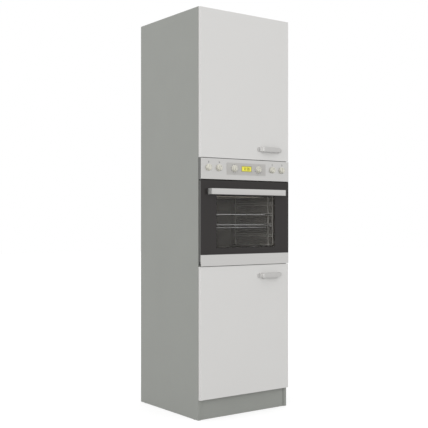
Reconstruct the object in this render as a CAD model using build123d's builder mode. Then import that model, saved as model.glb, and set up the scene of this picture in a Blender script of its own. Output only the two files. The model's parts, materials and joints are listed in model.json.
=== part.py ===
from build123d import *

import os

# Tall kitchen unit: a grey board carcass that houses a built-in oven between two white doors.
# Millimetres, +Z up, +X to the right seen from the front, the fronts face -Y.
# The origin is on the floor, at the middle of the whole object's width and depth.

os.makedirs("parts", exist_ok=True)

# Overall sizes of the unit
unit_width = 600.0
unit_height = 2140.0
carcass_depth = 568.0
board = 16.0
glide_height = 2.0

# Fronts: reveals, door boards and the heights stacked from the floor
door_board = 18.0
door_gap = 1.0
reveal = 3.0
edge_round = 1.2
plinth_height = 104.0
plinth_setback = 4.0
lower_door_height = 688.0
oven_front_height = 561.0

# Back panels
back_board = 3.0
back_void = 12.0
groove_depth = 7.0
groove_clearance = 0.4
groove_bite = 6.0

# Oven front: how far it stands proud of the carcass, and its three bands
oven_proud = 22.0
trim_height = 59.0
door_glass_height = 388.0
fascia_height = 109.5
pane = 4.0
oven_side_inset = 2.5

# Oven handle
oven_handle_inset = 47.0
oven_handle_height = 31.0
oven_handle_reach = 31.0
oven_handle_bar = 9.0
oven_handle_post = 13.0
oven_handle_drop = 59.0
grip_round = 2.5

# Small clearances that many pieces share
seat_clearance = 0.3
pin_clearance = 0.05
overrun = 5.0

# Places worked out from the sizes above
half_width = unit_width / 2
inner_half = half_width - board
front = -(carcass_depth - oven_proud - oven_handle_reach) / 2
back = front + carcass_depth
back_face = back - back_void - back_board
door_back = front - door_gap
door_front = door_back - door_board
door_half = half_width - reveal / 2
oven_handle_length = 2 * (half_width - oven_handle_inset)
lower_door_bottom = plinth_height + reveal
lower_door_top = lower_door_bottom + lower_door_height
oven_front_bottom = lower_door_top + reveal
oven_front_top = oven_front_bottom + oven_front_height
upper_door_bottom = oven_front_top + reveal
upper_door_top = unit_height - reveal
upper_door_height = upper_door_top - upper_door_bottom

# Boards across the carcass: each is named by its lower face
shelf_over_trim = 5.0
floor_under_fascia = 9.0
bottom_panel_z = plinth_height
oven_shelf_z = oven_front_bottom + shelf_over_trim - board
upper_floor_z = oven_front_top - floor_under_fascia
top_panel_z = unit_height - board
board_levels = {
    "bottom_panel": bottom_panel_z,
    "oven_shelf": oven_shelf_z,
    "upper_floor_panel": upper_floor_z,
    "top_panel": top_panel_z,
}

# Shelf pins and the rows of holes that take them
pin_radius = 2.45
pin_hole_depth = 12.0
pin_bite = 11.0
pin_stand = 8.0
pin_pad = 3.4
hole_pitch = 32.0
hole_rows = 7
hole_inset = 37.0
shelf_end_gap = 1.5
shelf_setback = 22.0
shelf_back_gap = 6.0
lower_shelf_z = (bottom_panel_z + board + oven_shelf_z) / 2
upper_shelf_z = (upper_floor_z + board + top_panel_z) / 2
shelf_levels = {"lower_shelf": lower_shelf_z, "upper_shelf": upper_shelf_z}
hole_front_y = front + hole_inset
hole_back_y = back_face - hole_inset

# Cam locks that draw the boards to the sides
cam_radius = 7.4
cam_depth = 12.0
cam_inset = 24.0
cam_edge = 60.0
cam_slot = 1.6
cam_slot_depth = 2.0

# Concealed hinges: the cup is let into the door, the plate sits on the side panel
cup_radius = 17.4
cup_depth = 11.5
cup_wall = 1.4
cup_edge = 5.0
cup_flange = 0.8
cup_flange_width = 17.0
cup_flange_length = 52.0
cup_screw_spacing = 45.0
cheek_width = 15.2
hinge_from_end = 100.0
plate_inset = 37.0
plate_thickness = 3.0
plate_rail_height = 8.0
plate_rail_width = 12.0
plate_length = 44.0
plate_wing_length = 46.0
plate_wing_width = 13.0
plate_hole_spacing = 32.0
arm_wall = 1.5
arm_width = 15.6
arm_depth = 6.0
arm_length = 62.0
arm_nose_drop = 6.0
arm_nose_width = 9.0
screw_head = 3.6
screw_head_height = 1.4
screw_shank = 1.75
screw_bite = 10.0
screw_slot = 0.9
cup_x = -door_half + cup_edge + cup_radius
flange_back = door_back + cup_flange

# Door handles: a bent strap with a foot at each end
strap_length = 170.0
strap_width = 26.0
strap_thickness = 3.0
strap_reach = 25.0
strap_foot = 22.0
strap_slope = 16.0
strap_bend = 9.0
strap_from_edge = 58.0
strap_from_side = 51.0
strap_x = door_half - strap_from_side - strap_length / 2
strap_screw_radius = 2.0
strap_screw_head = 4.0
strap_screw_head_height = 2.2
strap_screw_bite = 2.0
strap_screw_spacing = strap_length - strap_foot

# Wall brackets under the top panel
bracket_leg = 40.0
bracket_width = 36.0
bracket_sheet = 2.0
bracket_hole = 3.25
bracket_hole_drop = 26.0
bracket_inset = 100.0
bracket_x = half_width - bracket_inset

# Glides under the side panels
glide_radius = 7.0
glide_inset = 40.0

# Oven casing: folded sheets round the cavity
sheet = 1.2
casing_gap = 5.0
casing_head_gap = 8.0
casing_flange = 14.0
casing_half = inner_half - casing_gap
casing_bottom = oven_shelf_z + board
casing_top = upper_floor_z - casing_head_gap
vent_slot = 3.0
vent_length = 60.0
vent_pitch = 12.0
vent_count = 9
louvre_count = 8
louvre_length = 150.0
louvre_height = 5.0
louvre_pitch = 18.0
louvre_proud = 4.0
terminal_width = 96.0
terminal_height = 62.0
terminal_proud = 14.0
rear_room = 51.7
cable_inlet = 6.0

# Oven cavity and what lines its mouth
cavity_side_room = 59.0
cavity_height = 325.0
cavity_depth = 415.0
cavity_wall = 2.0
cavity_corner = 24.0
cavity_over_shelf = 69.0
cavity_half = inner_half - cavity_side_room
cavity_bottom = casing_bottom + cavity_over_shelf
cavity_top = cavity_bottom + cavity_height
cavity_mid = (cavity_bottom + cavity_top) / 2
cavity_back = front + cavity_depth
cavity_flange = 36.0
insulation = 25.0
frame_sheet = 1.5
frame_side_inset = 4.0
frame_ledge = 14.0
frame_top_gap = 4.0
gasket_width = 9.0
gasket_from_mouth = 3.0
inner_pane_gap = 3.0

# Oven door: outer pane over a trim, two stiles, two rails and an inner pane
trim_sheet = 1.5
stile_width = 22.0
stile_inset = 38.0
stile_half = half_width - stile_inset
stile_lift = 4.0
stile_head_gap = 5.0
rail_height = 26.0
inner_pane_margin = 8.0
outer_back = front - oven_proud + pane
inner_front = front - inner_pane_gap - pane
door_glass_bottom = oven_front_bottom + trim_height
door_glass_top = door_glass_bottom + door_glass_height
fascia_bottom = oven_front_top - fascia_height

# Oven door hinge: a pin through a fixed ear and the door's arm on each side
oven_pivot_y = front - 15.0
oven_pivot_z = oven_front_bottom + 10.0
pivot_pin_radius = 2.5
pivot_boss_radius = 4.4
ear_thickness = 4.0
ear_neck = 3.5
ear_gap = 0.3
arm_plate = 3.0
arm_height = 40.0

# Control panel, its insert, display and knobs
fascia_sheet = 1.5
insert_from_knob = 49.0
insert_height = 64.0
insert_drop = 19.0
insert_thickness = 0.8
insert_corner = 4.0
display_half = 34.0
display_height = 30.0
display_depth = 9.0
display_proud = 0.3
knob_centre_drop = 49.0
outer_knob_inset = 52.0
hob_knob_pitch = 67.0
dial_shift = 2.0
outer_knob_x = half_width - outer_knob_inset
inner_knob_x = outer_knob_x - hob_knob_pitch
insert_half = inner_knob_x - insert_from_knob
dial_x = (insert_half + display_half) / 2 - dial_shift
knob_places = {
    "hob_knob_far_left": -outer_knob_x,
    "hob_knob_left": -inner_knob_x,
    "function_knob": -dial_x,
    "temperature_knob": dial_x,
    "hob_knob_right": inner_knob_x,
    "hob_knob_far_right": outer_knob_x,
}
knob_radius = 15.5
knob_skirt_radius = 18.0
knob_skirt = 2.5
knob_reach = 19.0
knob_gap = 0.3
knob_taper = 2.0
knob_shaft = 3.0
knob_shaft_length = 14.0
knob_grip = 5.0
knob_grip_depth = 7.0
knob_grip_bite = 14.5

# Side racks, shelves and tray inside the cavity
rack_wire = 4.0
rack_frame_wire = 5.0
rack_guard_wire = 3.0
rack_guard_lift = 11.0
rack_bend = 4.0
rack_corner = 10.0
rack_brace_pitch = 38.0
rack_peg_rise = 22.0
rack_depth = 340.0
rack_from_wall = 2.0
rack_reach = 9.0
rack_levels = 4
rack_pitch = 58.0
rack_first = 73.0
rack_front_gap = 22.0
shelf_wire = 2.8
shelf_frame_wire = 4.0
shelf_cross_wire = 3.2
shelf_weave = 0.6
shelf_corner = 12.0
wire_shelf_gap = 1.5
wire_shelf_depth = 345.0
wire_count = 15
cross_wire_count = 2
tray_depth = 24.0
tray_wall = 2.0
tray_rim = 12.0
tray_taper = 12.0
tray_corner = 14.0
shelf_level_index = 2
tray_level_index = 1

# Heating, light and fan
element_radius = 3.2
element_drop = 34.0
element_inset = 60.0
element_half = cavity_half - element_inset
element_inner_half = 55.0
element_front_gap = 50.0
element_bend = 20.0
lamp_radius = 24.0
lamp_reach = 12.0
lamp_drop = 52.0
fan_cover_half = 118.0
lamp_x = (fan_cover_half + cavity_half) / 2
fan_cover_depth = 30.0
fan_cover_sheet = 1.5
fan_cover_corner = 12.0
fan_slot = 5.0
fan_slot_count = 16
fan_slot_inner = 26.0
fan_slot_outer = 62.0
fan_radius = 74.0
fan_disc = 1.2
fan_blade = 1.5
fan_blade_depth = 17.0
fan_blade_inner = 44.0
fan_blades = 14
fan_hub = 11.0
fan_hub_length = 12.0
fan_shaft = 4.0
fan_wall_gap = 4.0
motor_radius = 34.0
motor_length = 42.0
motor_plate = 2.0
motor_plate_half = 58.0

# Depth of the casing, from what stands behind the cavity inside it
lagging_back = cavity_back + cavity_wall
rear_low = lagging_back + seat_clearance
motor_face = rear_low + insulation
casing_back = motor_face + motor_length + rear_room
casing_depth = casing_back - front


def board_between(x_low, x_high, y_low, y_high, z_low, z_high, mode=Mode.ADD):
    """A rectangular board between two limits along each axis."""
    middle = ((x_low + x_high) / 2, (y_low + y_high) / 2, (z_low + z_high) / 2)
    with Locations(middle):
        Box(x_high - x_low, y_high - y_low, z_high - z_low, mode=mode)


def hinge_heights(door_bottom, door_height):
    """The two heights at which a door of this height is hinged."""
    return (door_bottom + hinge_from_end, door_bottom + door_height - hinge_from_end)


door_hinges = {
    "lower": hinge_heights(lower_door_bottom, lower_door_height),
    "upper": hinge_heights(upper_door_bottom, upper_door_height),
}
all_hinges = door_hinges["lower"] + door_hinges["upper"]
fixing_x = half_width - board / 2
fixing_inset = 26.0
fixing_heights = (casing_bottom + fixing_inset, fascia_bottom - frame_top_gap - fixing_inset)

# Side panels: full height to the floor, grooved for the back panels and drilled for pins and hinges
pin_middle_y = (hole_front_y + hole_back_y) / 2
pin_span_y = hole_back_y - hole_front_y

for side, panel_name in ((-1, "left_side_panel"), (1, "right_side_panel")):
    inner_face = Plane.YZ.offset(side * inner_half)
    into_panel = side * pin_hole_depth
    with BuildPart() as side_panel:
        with BuildSketch(inner_face):
            with Locations(((front + back) / 2, (glide_height + unit_height) / 2)):
                Rectangle(carcass_depth, unit_height - glide_height)
        extrude(amount=side * board)
        with BuildSketch(inner_face):
            with Locations((back_face + back_board / 2, (glide_height + unit_height) / 2)):
                Rectangle(back_board + groove_clearance, unit_height)
        extrude(amount=side * groove_depth, mode=Mode.SUBTRACT)
        for shelf_z in shelf_levels.values():
            with BuildSketch(inner_face):
                with Locations((pin_middle_y, shelf_z - pin_radius)):
                    with GridLocations(pin_span_y, hole_pitch, 2, hole_rows):
                        Circle(pin_radius + pin_clearance)
            extrude(amount=into_panel, mode=Mode.SUBTRACT)
        with BuildSketch(Plane.XZ.offset(-front)):
            with Locations(*[(side * fixing_x, z) for z in fixing_heights]):
                Circle(screw_shank + pin_clearance)
        extrude(amount=-screw_bite - overrun, mode=Mode.SUBTRACT)
        if side < 0:
            with BuildSketch(inner_face):
                for z in all_hinges:
                    with Locations((front + plate_inset, z)):
                        with GridLocations(plate_hole_spacing, plate_hole_spacing, 1, 2):
                            Circle(screw_shank + pin_clearance)
            extrude(amount=into_panel, mode=Mode.SUBTRACT)
    side_panel.part.label = panel_name
    export_step(side_panel.part, f"parts/{panel_name}.step")

# Boards across the carcass, each with four cam pockets in its underside
cam_x = inner_half - cam_inset
cam_middle_y = (front + back_face) / 2
cam_span_y = back_face - front - 2 * cam_edge

for panel_name, z in board_levels.items():
    with BuildPart() as cross_board:
        board_between(-inner_half, inner_half, front, back_face, z, z + board)
        with BuildSketch(Plane.XY.offset(z)):
            with Locations((0, cam_middle_y)):
                with GridLocations(2 * cam_x, cam_span_y, 2, 2):
                    Circle(cam_radius + pin_clearance)
        extrude(amount=cam_depth, mode=Mode.SUBTRACT)
    cross_board.part.label = panel_name
    export_step(cross_board.part, f"parts/{panel_name}.step")

with BuildPart() as cam_locks:
    for z in board_levels.values():
        with BuildSketch(Plane.XY.offset(z)):
            with Locations((0, cam_middle_y)):
                with GridLocations(2 * cam_x, cam_span_y, 2, 2):
                    Circle(cam_radius)
        extrude(amount=cam_depth)
        with BuildSketch(Plane.XY.offset(z)):
            with Locations((0, cam_middle_y)):
                with GridLocations(2 * cam_x, cam_span_y, 2, 2):
                    Rectangle(cam_radius, cam_slot)
                    Rectangle(cam_slot, cam_radius)
        extrude(amount=cam_slot_depth, mode=Mode.SUBTRACT)
cam_locks.part.label = "cam_locks"
export_step(cam_locks.part, "parts/cam_locks.step")

# Plinth board between the sides, a little behind their front edges
with BuildPart() as plinth_board:
    plinth_front = front + plinth_setback
    board_between(-inner_half, inner_half, plinth_front, plinth_front + board, glide_height, plinth_height)
plinth_board.part.label = "plinth_board"
export_step(plinth_board.part, "parts/plinth_board.step")

# Back panels in the grooves: the bay behind the oven stays open
back_half = inner_half + groove_bite
bracket_hole_z = top_panel_z - bracket_hole_drop

with BuildPart() as lower_back_panel:
    board_between(
        -back_half, back_half, back_face, back_face + back_board, bottom_panel_z, oven_shelf_z + board
    )
lower_back_panel.part.label = "lower_back_panel"
export_step(lower_back_panel.part, "parts/lower_back_panel.step")

with BuildPart() as upper_back_panel:
    board_between(-back_half, back_half, back_face, back_face + back_board, upper_floor_z, unit_height)
    with BuildSketch(Plane.XZ.offset(-back_face)):
        with Locations((-bracket_x, bracket_hole_z), (bracket_x, bracket_hole_z)):
            Circle(bracket_hole)
    extrude(amount=-back_board, mode=Mode.SUBTRACT)
upper_back_panel.part.label = "upper_back_panel"
export_step(upper_back_panel.part, "parts/upper_back_panel.step")

# Adjustable shelves on four pins each
shelf_half = inner_half - shelf_end_gap
pin_positions_y = (hole_front_y, hole_back_y)

for panel_name, z in shelf_levels.items():
    with BuildPart() as shelf:
        shelf_front = front + shelf_setback
        shelf_back = back_face - shelf_back_gap
        board_between(-shelf_half, shelf_half, shelf_front, shelf_back, z, z + board)
    shelf.part.label = panel_name
    export_step(shelf.part, f"parts/{panel_name}.step")

with BuildPart() as shelf_pins:
    for z in shelf_levels.values():
        for side in (-1, 1):
            for y in pin_positions_y:
                with BuildSketch(Plane.YZ.offset(side * (inner_half + pin_bite))):
                    with Locations((y, z - pin_radius)):
                        Circle(pin_radius)
                extrude(amount=-side * (pin_bite + pin_stand))
                with BuildSketch(Plane.YZ.offset(side * inner_half)):
                    with Locations((y, z - pin_radius)):
                        Circle(pin_pad)
                extrude(amount=-side * shelf_end_gap / 2)
shelf_pins.part.label = "shelf_pins"
export_step(shelf_pins.part, "parts/shelf_pins.step")

# Wall brackets: an angle under the top panel, with its upright leg against the back panel
with BuildPart() as wall_brackets:
    for side in (-1, 1):
        x = side * bracket_x
        leg_front = back_face - bracket_leg
        leg_bottom = top_panel_z - bracket_leg
        half = bracket_width / 2
        board_between(x - half, x + half, leg_front, back_face, top_panel_z - bracket_sheet, top_panel_z)
        board_between(x - half, x + half, back_face - bracket_sheet, back_face, leg_bottom, top_panel_z)
    with BuildSketch(Plane.XZ.offset(-back_face)):
        with Locations((-bracket_x, bracket_hole_z), (bracket_x, bracket_hole_z)):
            Circle(bracket_hole)
    extrude(amount=bracket_sheet, mode=Mode.SUBTRACT)
    with BuildSketch(Plane.XY.offset(top_panel_z)):
        with Locations((0, back_face - bracket_hole_drop)):
            with GridLocations(2 * bracket_x, bracket_hole_drop, 2, 1):
                Circle(bracket_hole)
    extrude(amount=-bracket_sheet, mode=Mode.SUBTRACT)
wall_brackets.part.label = "wall_brackets"
export_step(wall_brackets.part, "parts/wall_brackets.step")

# Glides: a flat plastic foot under each end of each side panel
with BuildPart() as floor_glides:
    with BuildSketch(Plane.XY):
        with Locations((0, (front + back) / 2)):
            with GridLocations(2 * fixing_x, carcass_depth - 2 * glide_inset, 2, 2):
                Circle(glide_radius)
    extrude(amount=glide_height)
floor_glides.part.label = "floor_glides"
export_step(floor_glides.part, "parts/floor_glides.step")

# Hinge plates on the left side panel: a rail with two screwed wings, under each hinge arm
plate_face = Plane.YZ.offset(-inner_half)
plate_centre_y = front + plate_inset

with BuildPart() as hinge_plates:
    for z in all_hinges:
        with BuildSketch(plate_face):
            with Locations((plate_centre_y, z)):
                RectangleRounded(plate_wing_width, plate_wing_length, plate_wing_width / 3)
        extrude(amount=plate_thickness)
        with BuildSketch(plate_face):
            with Locations((plate_centre_y, z)):
                RectangleRounded(plate_length, plate_rail_width, plate_rail_width / 4)
        extrude(amount=plate_rail_height)
        with BuildSketch(plate_face):
            with Locations((plate_centre_y, z)):
                with GridLocations(plate_hole_spacing, plate_hole_spacing, 1, 2):
                    Circle(screw_shank + pin_clearance)
        extrude(amount=plate_thickness, mode=Mode.SUBTRACT)
hinge_plates.part.label = "hinge_plates"
export_step(hinge_plates.part, "parts/hinge_plates.step")

with BuildPart() as hinge_plate_screws:
    for z in all_hinges:
        for offset_z in (-plate_hole_spacing / 2, plate_hole_spacing / 2):
            head_face = Plane.YZ.offset(-inner_half + plate_thickness)
            with BuildSketch(head_face):
                with Locations((plate_centre_y, z + offset_z)):
                    Circle(screw_head)
            extrude(amount=screw_head_height)
            with BuildSketch(head_face):
                with Locations((plate_centre_y, z + offset_z)):
                    Circle(screw_shank)
            extrude(amount=-plate_thickness - screw_bite)
            with BuildSketch(head_face.offset(screw_head_height)):
                with Locations((plate_centre_y, z + offset_z)):
                    Rectangle(screw_head, screw_slot)
                    Rectangle(screw_slot, screw_head)
            extrude(amount=-screw_slot, mode=Mode.SUBTRACT)
hinge_plate_screws.part.label = "hinge_plate_screws"
export_step(hinge_plate_screws.part, "parts/hinge_plate_screws.step")

# Hinge arms: a channel clipped over the plate's rail, with a nose that reaches into the cup
rail_top = -inner_half + plate_rail_height
arm_top = rail_top + arm_wall
arm_back_y = front + arm_length
lip_x = -inner_half + plate_thickness + seat_clearance
nose_y = door_back - arm_nose_drop

with BuildPart() as hinge_arms:
    for z in all_hinges:
        with BuildSketch(Plane.XY.offset(z - arm_width / 2)):
            with BuildLine():
                Polyline(
                    (rail_top, arm_back_y),
                    (arm_top, arm_back_y),
                    (arm_top, front),
                    (arm_top + arm_wall, nose_y),
                    (rail_top, nose_y),
                    (rail_top - arm_wall, front),
                    (rail_top, front + arm_depth),
                    close=True,
                )
            make_face()
        extrude(amount=arm_width)
        for lip_z in (z - arm_width / 2, z + arm_width / 2 - arm_wall):
            with BuildSketch(Plane.XY.offset(lip_z)):
                with Locations(((arm_top + lip_x) / 2, (arm_back_y + front + arm_depth) / 2)):
                    Rectangle(arm_top - lip_x, arm_back_y - front - arm_depth)
            extrude(amount=arm_wall)
        for cut_z in (z - arm_width / 2, z + arm_width / 2 - (arm_width - arm_nose_width) / 2):
            board_between(
                rail_top - arm_depth,
                arm_top + arm_depth,
                nose_y - overrun,
                front + arm_wall,
                cut_z,
                cut_z + (arm_width - arm_nose_width) / 2,
                mode=Mode.SUBTRACT,
            )
hinge_arms.part.label = "hinge_arms"
export_step(hinge_arms.part, "parts/hinge_arms.step")

# Doors: a lacquered board with rounded front edges, cup bores on the left and handle holes on the right
for door_name, door_bottom, door_height, handle_z in (
    ("lower", lower_door_bottom, lower_door_height, lower_door_top - strap_from_edge),
    ("upper", upper_door_bottom, upper_door_height, upper_door_bottom + strap_from_edge),
):
    cup_places = [(cup_x, z) for z in door_hinges[door_name]]
    handle_holes = [(strap_x + shift * strap_screw_spacing / 2, handle_z) for shift in (-1, 1)]

    with BuildPart() as door_panel:
        board_between(-door_half, door_half, door_front, door_back, door_bottom, door_bottom + door_height)
        fillet(door_panel.faces().sort_by(Axis.Y)[0].edges(), radius=edge_round)
        with BuildSketch(Plane.XZ.offset(-door_back)):
            with Locations(*cup_places):
                Circle(cup_radius + pin_clearance)
        extrude(amount=cup_depth + pin_clearance, mode=Mode.SUBTRACT)
        with BuildSketch(Plane.XZ.offset(-door_back)):
            with Locations(*cup_places):
                with GridLocations(cup_screw_spacing, cup_screw_spacing, 1, 2):
                    Circle(screw_shank + pin_clearance)
        extrude(amount=screw_bite + pin_clearance, mode=Mode.SUBTRACT)
        with BuildSketch(Plane.XZ.offset(-door_back)):
            with Locations(*handle_holes):
                Circle(strap_screw_radius + pin_clearance)
        extrude(amount=door_board, mode=Mode.SUBTRACT)
    door_panel.part.label = f"{door_name}_door_panel"
    export_step(door_panel.part, f"parts/{door_name}_door_panel.step")

    # Hinge cups: a flanged round dish let into the board, with two cheeks that guide the arm's nose
    cup_hollow = cup_radius - cup_wall
    cup_hollow_depth = cup_depth + cup_flange - cup_wall
    cheek_inner = arm_nose_width / 2 + seat_clearance
    with BuildPart() as hinge_cups:
        with BuildSketch(Plane.XZ.offset(-flange_back)):
            with Locations(*cup_places):
                RectangleRounded(cup_flange_width, cup_flange_length, cup_flange_width / 3)
                with GridLocations(cup_screw_spacing, cup_screw_spacing, 1, 2):
                    Circle(screw_shank + pin_clearance, mode=Mode.SUBTRACT)
        extrude(amount=cup_flange)
        with BuildSketch(Plane.XZ.offset(-flange_back)):
            with Locations(*cup_places):
                Circle(cup_radius)
        extrude(amount=cup_depth + cup_flange)
        with BuildSketch(Plane.XZ.offset(-flange_back)):
            with Locations(*cup_places):
                Circle(cup_hollow)
        extrude(amount=cup_hollow_depth, mode=Mode.SUBTRACT)
        with BuildSketch(Plane.XZ.offset(-door_back)):
            with Locations(*cup_places):
                with GridLocations(cheek_inner, 2 * cheek_inner + cup_wall, 1, 2):
                    Rectangle(2 * cheek_width, cup_wall)
        extrude(amount=cup_depth - cup_wall / 2)
    hinge_cups.part.label = f"{door_name}_hinge_cups"
    export_step(hinge_cups.part, f"parts/{door_name}_hinge_cups.step")

    # Bow handle: a strap bent out of one strip, its feet flat on the door
    strap_left = strap_x - strap_length / 2
    strap_right = strap_x + strap_length / 2
    strap_mid_y = door_front - strap_thickness / 2
    strap_out_y = door_front - strap_reach + strap_thickness / 2
    with BuildPart() as door_handle:
        with BuildLine(Plane.XY.offset(handle_z)):
            FilletPolyline(
                (strap_left, strap_mid_y),
                (strap_left + strap_foot, strap_mid_y),
                (strap_left + strap_foot + strap_slope, strap_out_y),
                (strap_right - strap_foot - strap_slope, strap_out_y),
                (strap_right - strap_foot, strap_mid_y),
                (strap_right, strap_mid_y),
                radius=strap_bend,
            )
        with BuildSketch(Plane.YZ.offset(strap_left)):
            with Locations((strap_mid_y, handle_z)):
                Rectangle(strap_thickness, strap_width)
        sweep()
        end_edges = door_handle.edges().filter_by(Axis.Y).group_by(Axis.X)
        fillet(end_edges[0] + end_edges[-1], radius=strap_width / 2 - strap_thickness)
        with BuildSketch(Plane.XZ.offset(-door_front)):
            with Locations(*handle_holes):
                Circle(strap_screw_radius + pin_clearance)
        extrude(amount=strap_screw_bite + pin_clearance, mode=Mode.SUBTRACT)
    door_handle.part.label = f"{door_name}_door_handle"
    export_step(door_handle.part, f"parts/{door_name}_door_handle.step")

    # Screws of one door: two through the board into the handle, four that hold the hinge cups
    with BuildPart() as door_screws:
        for x, z in handle_holes:
            with BuildSketch(Plane.XZ.offset(-door_back)):
                with Locations((x, z)):
                    Circle(strap_screw_head)
            extrude(amount=-strap_screw_head_height)
            with BuildSketch(Plane.XZ.offset(-door_back)):
                with Locations((x, z)):
                    Circle(strap_screw_radius)
            extrude(amount=door_board + strap_screw_bite)
        for x, z in cup_places:
            for offset_z in (-cup_screw_spacing / 2, cup_screw_spacing / 2):
                with BuildSketch(Plane.XZ.offset(-flange_back)):
                    with Locations((x, z + offset_z)):
                        Circle(screw_head)
                extrude(amount=-screw_head_height)
                with BuildSketch(Plane.XZ.offset(-flange_back)):
                    with Locations((x, z + offset_z)):
                        Circle(screw_shank)
                extrude(amount=cup_flange + screw_bite)
    door_screws.part.label = f"{door_name}_door_screws"
    export_step(door_screws.part, f"parts/{door_name}_door_screws.step")

# Oven casing: base pan, side sheets, top cover and a louvred rear cover, round the cavity
casing_inner = casing_half - sheet

with BuildPart() as oven_base_pan:
    with BuildSketch(Plane.XZ.offset(-front)):
        with Locations((0, casing_bottom + casing_flange / 2)):
            Rectangle(2 * casing_inner, casing_flange)
        with Locations((0, casing_bottom + sheet + casing_flange / 2)):
            Rectangle(2 * (casing_inner - sheet), casing_flange, mode=Mode.SUBTRACT)
    extrude(amount=-casing_depth)
oven_base_pan.part.label = "oven_base_pan"
export_step(oven_base_pan.part, "parts/oven_base_pan.step")

with BuildPart() as oven_top_cover:
    with BuildSketch(Plane.XZ.offset(-front)):
        with Locations((0, casing_top - casing_flange / 2)):
            Rectangle(2 * casing_inner, casing_flange)
        with Locations((0, casing_top - sheet - casing_flange / 2)):
            Rectangle(2 * (casing_inner - sheet), casing_flange, mode=Mode.SUBTRACT)
    extrude(amount=-casing_depth)
    with BuildSketch(Plane.XY.offset(casing_top)):
        with Locations((0, casing_back - vent_length)):
            with GridLocations(vent_pitch, vent_length, vent_count, 1):
                SlotOverall(vent_length, vent_slot, rotation=90)
    extrude(amount=-sheet, mode=Mode.SUBTRACT)
oven_top_cover.part.label = "oven_top_cover"
export_step(oven_top_cover.part, "parts/oven_top_cover.step")

with BuildPart() as oven_side_casings:
    for side in (-1, 1):
        with BuildSketch(Plane.YZ.offset(side * casing_half)):
            with Locations(((front + casing_back) / 2, (casing_bottom + casing_top) / 2)):
                Rectangle(casing_depth, casing_top - casing_bottom)
            with Locations((casing_back - vent_length, casing_top - vent_length)):
                with GridLocations(vent_pitch, vent_length, vent_count, 1):
                    SlotOverall(vent_length, vent_slot, rotation=90, mode=Mode.SUBTRACT)
        extrude(amount=-side * sheet)
oven_side_casings.part.label = "oven_side_casings"
export_step(oven_side_casings.part, "parts/oven_side_casings.step")

louvre_z = casing_top - vent_length
terminal_x = casing_half - terminal_width
terminal_z = casing_bottom + terminal_height

with BuildPart() as oven_rear_cover:
    rear_face = casing_back + sheet
    board_between(-casing_half, casing_half, casing_back, rear_face, casing_bottom, casing_top)
    for row in range(louvre_count):
        hood_z = louvre_z - row * louvre_pitch
        with BuildSketch(Plane.YZ.offset(-louvre_length / 2)):
            with BuildLine():
                Polyline(
                    (rear_face, hood_z + louvre_height),
                    (rear_face + louvre_proud, hood_z - louvre_height),
                    (rear_face, hood_z - louvre_height),
                    close=True,
                )
            make_face()
        extrude(amount=louvre_length)
        with BuildSketch(Plane.XZ.offset(-casing_back)):
            with Locations((0, hood_z - louvre_height - vent_slot)):
                SlotOverall(louvre_length, vent_slot)
        extrude(amount=-sheet, mode=Mode.SUBTRACT)
    with BuildSketch(Plane.XZ.offset(-rear_face)):
        with Locations((terminal_x, terminal_z)):
            RectangleRounded(terminal_width, terminal_height, terminal_height / 8)
    extrude(amount=-terminal_proud)
    with BuildSketch(Plane.XZ.offset(-rear_face - terminal_proud)):
        with Locations((terminal_x - terminal_width / 4, terminal_z)):
            Circle(cable_inlet)
    extrude(amount=terminal_proud, mode=Mode.SUBTRACT)
oven_rear_cover.part.label = "oven_rear_cover"
export_step(oven_rear_cover.part, "parts/oven_rear_cover.step")

# Front frame: a flat enamelled plate on the carcass edges, with an ear for each door pivot
mouth = Plane.XZ.offset(-front)
frame_half = half_width - frame_side_inset
frame_top = fascia_bottom - frame_top_gap
frame_front = front - frame_sheet
ear_inner = stile_half + arm_plate + ear_gap

with BuildPart() as oven_front_frame:
    with BuildSketch(mouth):
        with Locations((0, (casing_bottom + frame_top) / 2)):
            Rectangle(2 * frame_half, frame_top - casing_bottom)
        with Locations((0, cavity_mid)):
            RectangleRounded(
                2 * (cavity_half + frame_ledge),
                cavity_height + 2 * frame_ledge,
                cavity_corner + frame_ledge,
                mode=Mode.SUBTRACT,
            )
        with Locations(*[(side * fixing_x, z) for side in (-1, 1) for z in fixing_heights]):
            Circle(screw_shank + pin_clearance, mode=Mode.SUBTRACT)
    extrude(amount=frame_sheet)
    for side in (-1, 1):
        with BuildSketch(Plane.YZ.offset(side * ear_inner)):
            with Locations((oven_pivot_y, oven_pivot_z)):
                Circle(pivot_boss_radius)
            with Locations(((oven_pivot_y + frame_front) / 2, oven_pivot_z)):
                Rectangle(frame_front - oven_pivot_y, 2 * ear_neck)
            with Locations((oven_pivot_y, oven_pivot_z)):
                Circle(pivot_pin_radius + pin_clearance, mode=Mode.SUBTRACT)
        extrude(amount=side * ear_thickness)
oven_front_frame.part.label = "oven_front_frame"
export_step(oven_front_frame.part, "parts/oven_front_frame.step")

with BuildPart() as oven_fixing_screws:
    for side in (-1, 1):
        for z in fixing_heights:
            with BuildSketch(Plane.XZ.offset(-frame_front)):
                with Locations((side * fixing_x, z)):
                    Circle(screw_head)
            extrude(amount=screw_head_height)
            with BuildSketch(Plane.XZ.offset(-frame_front)):
                with Locations((side * fixing_x, z)):
                    Circle(screw_shank)
            extrude(amount=-frame_sheet - screw_bite)
oven_fixing_screws.part.label = "oven_fixing_screws"
export_step(oven_fixing_screws.part, "parts/oven_fixing_screws.step")

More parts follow.
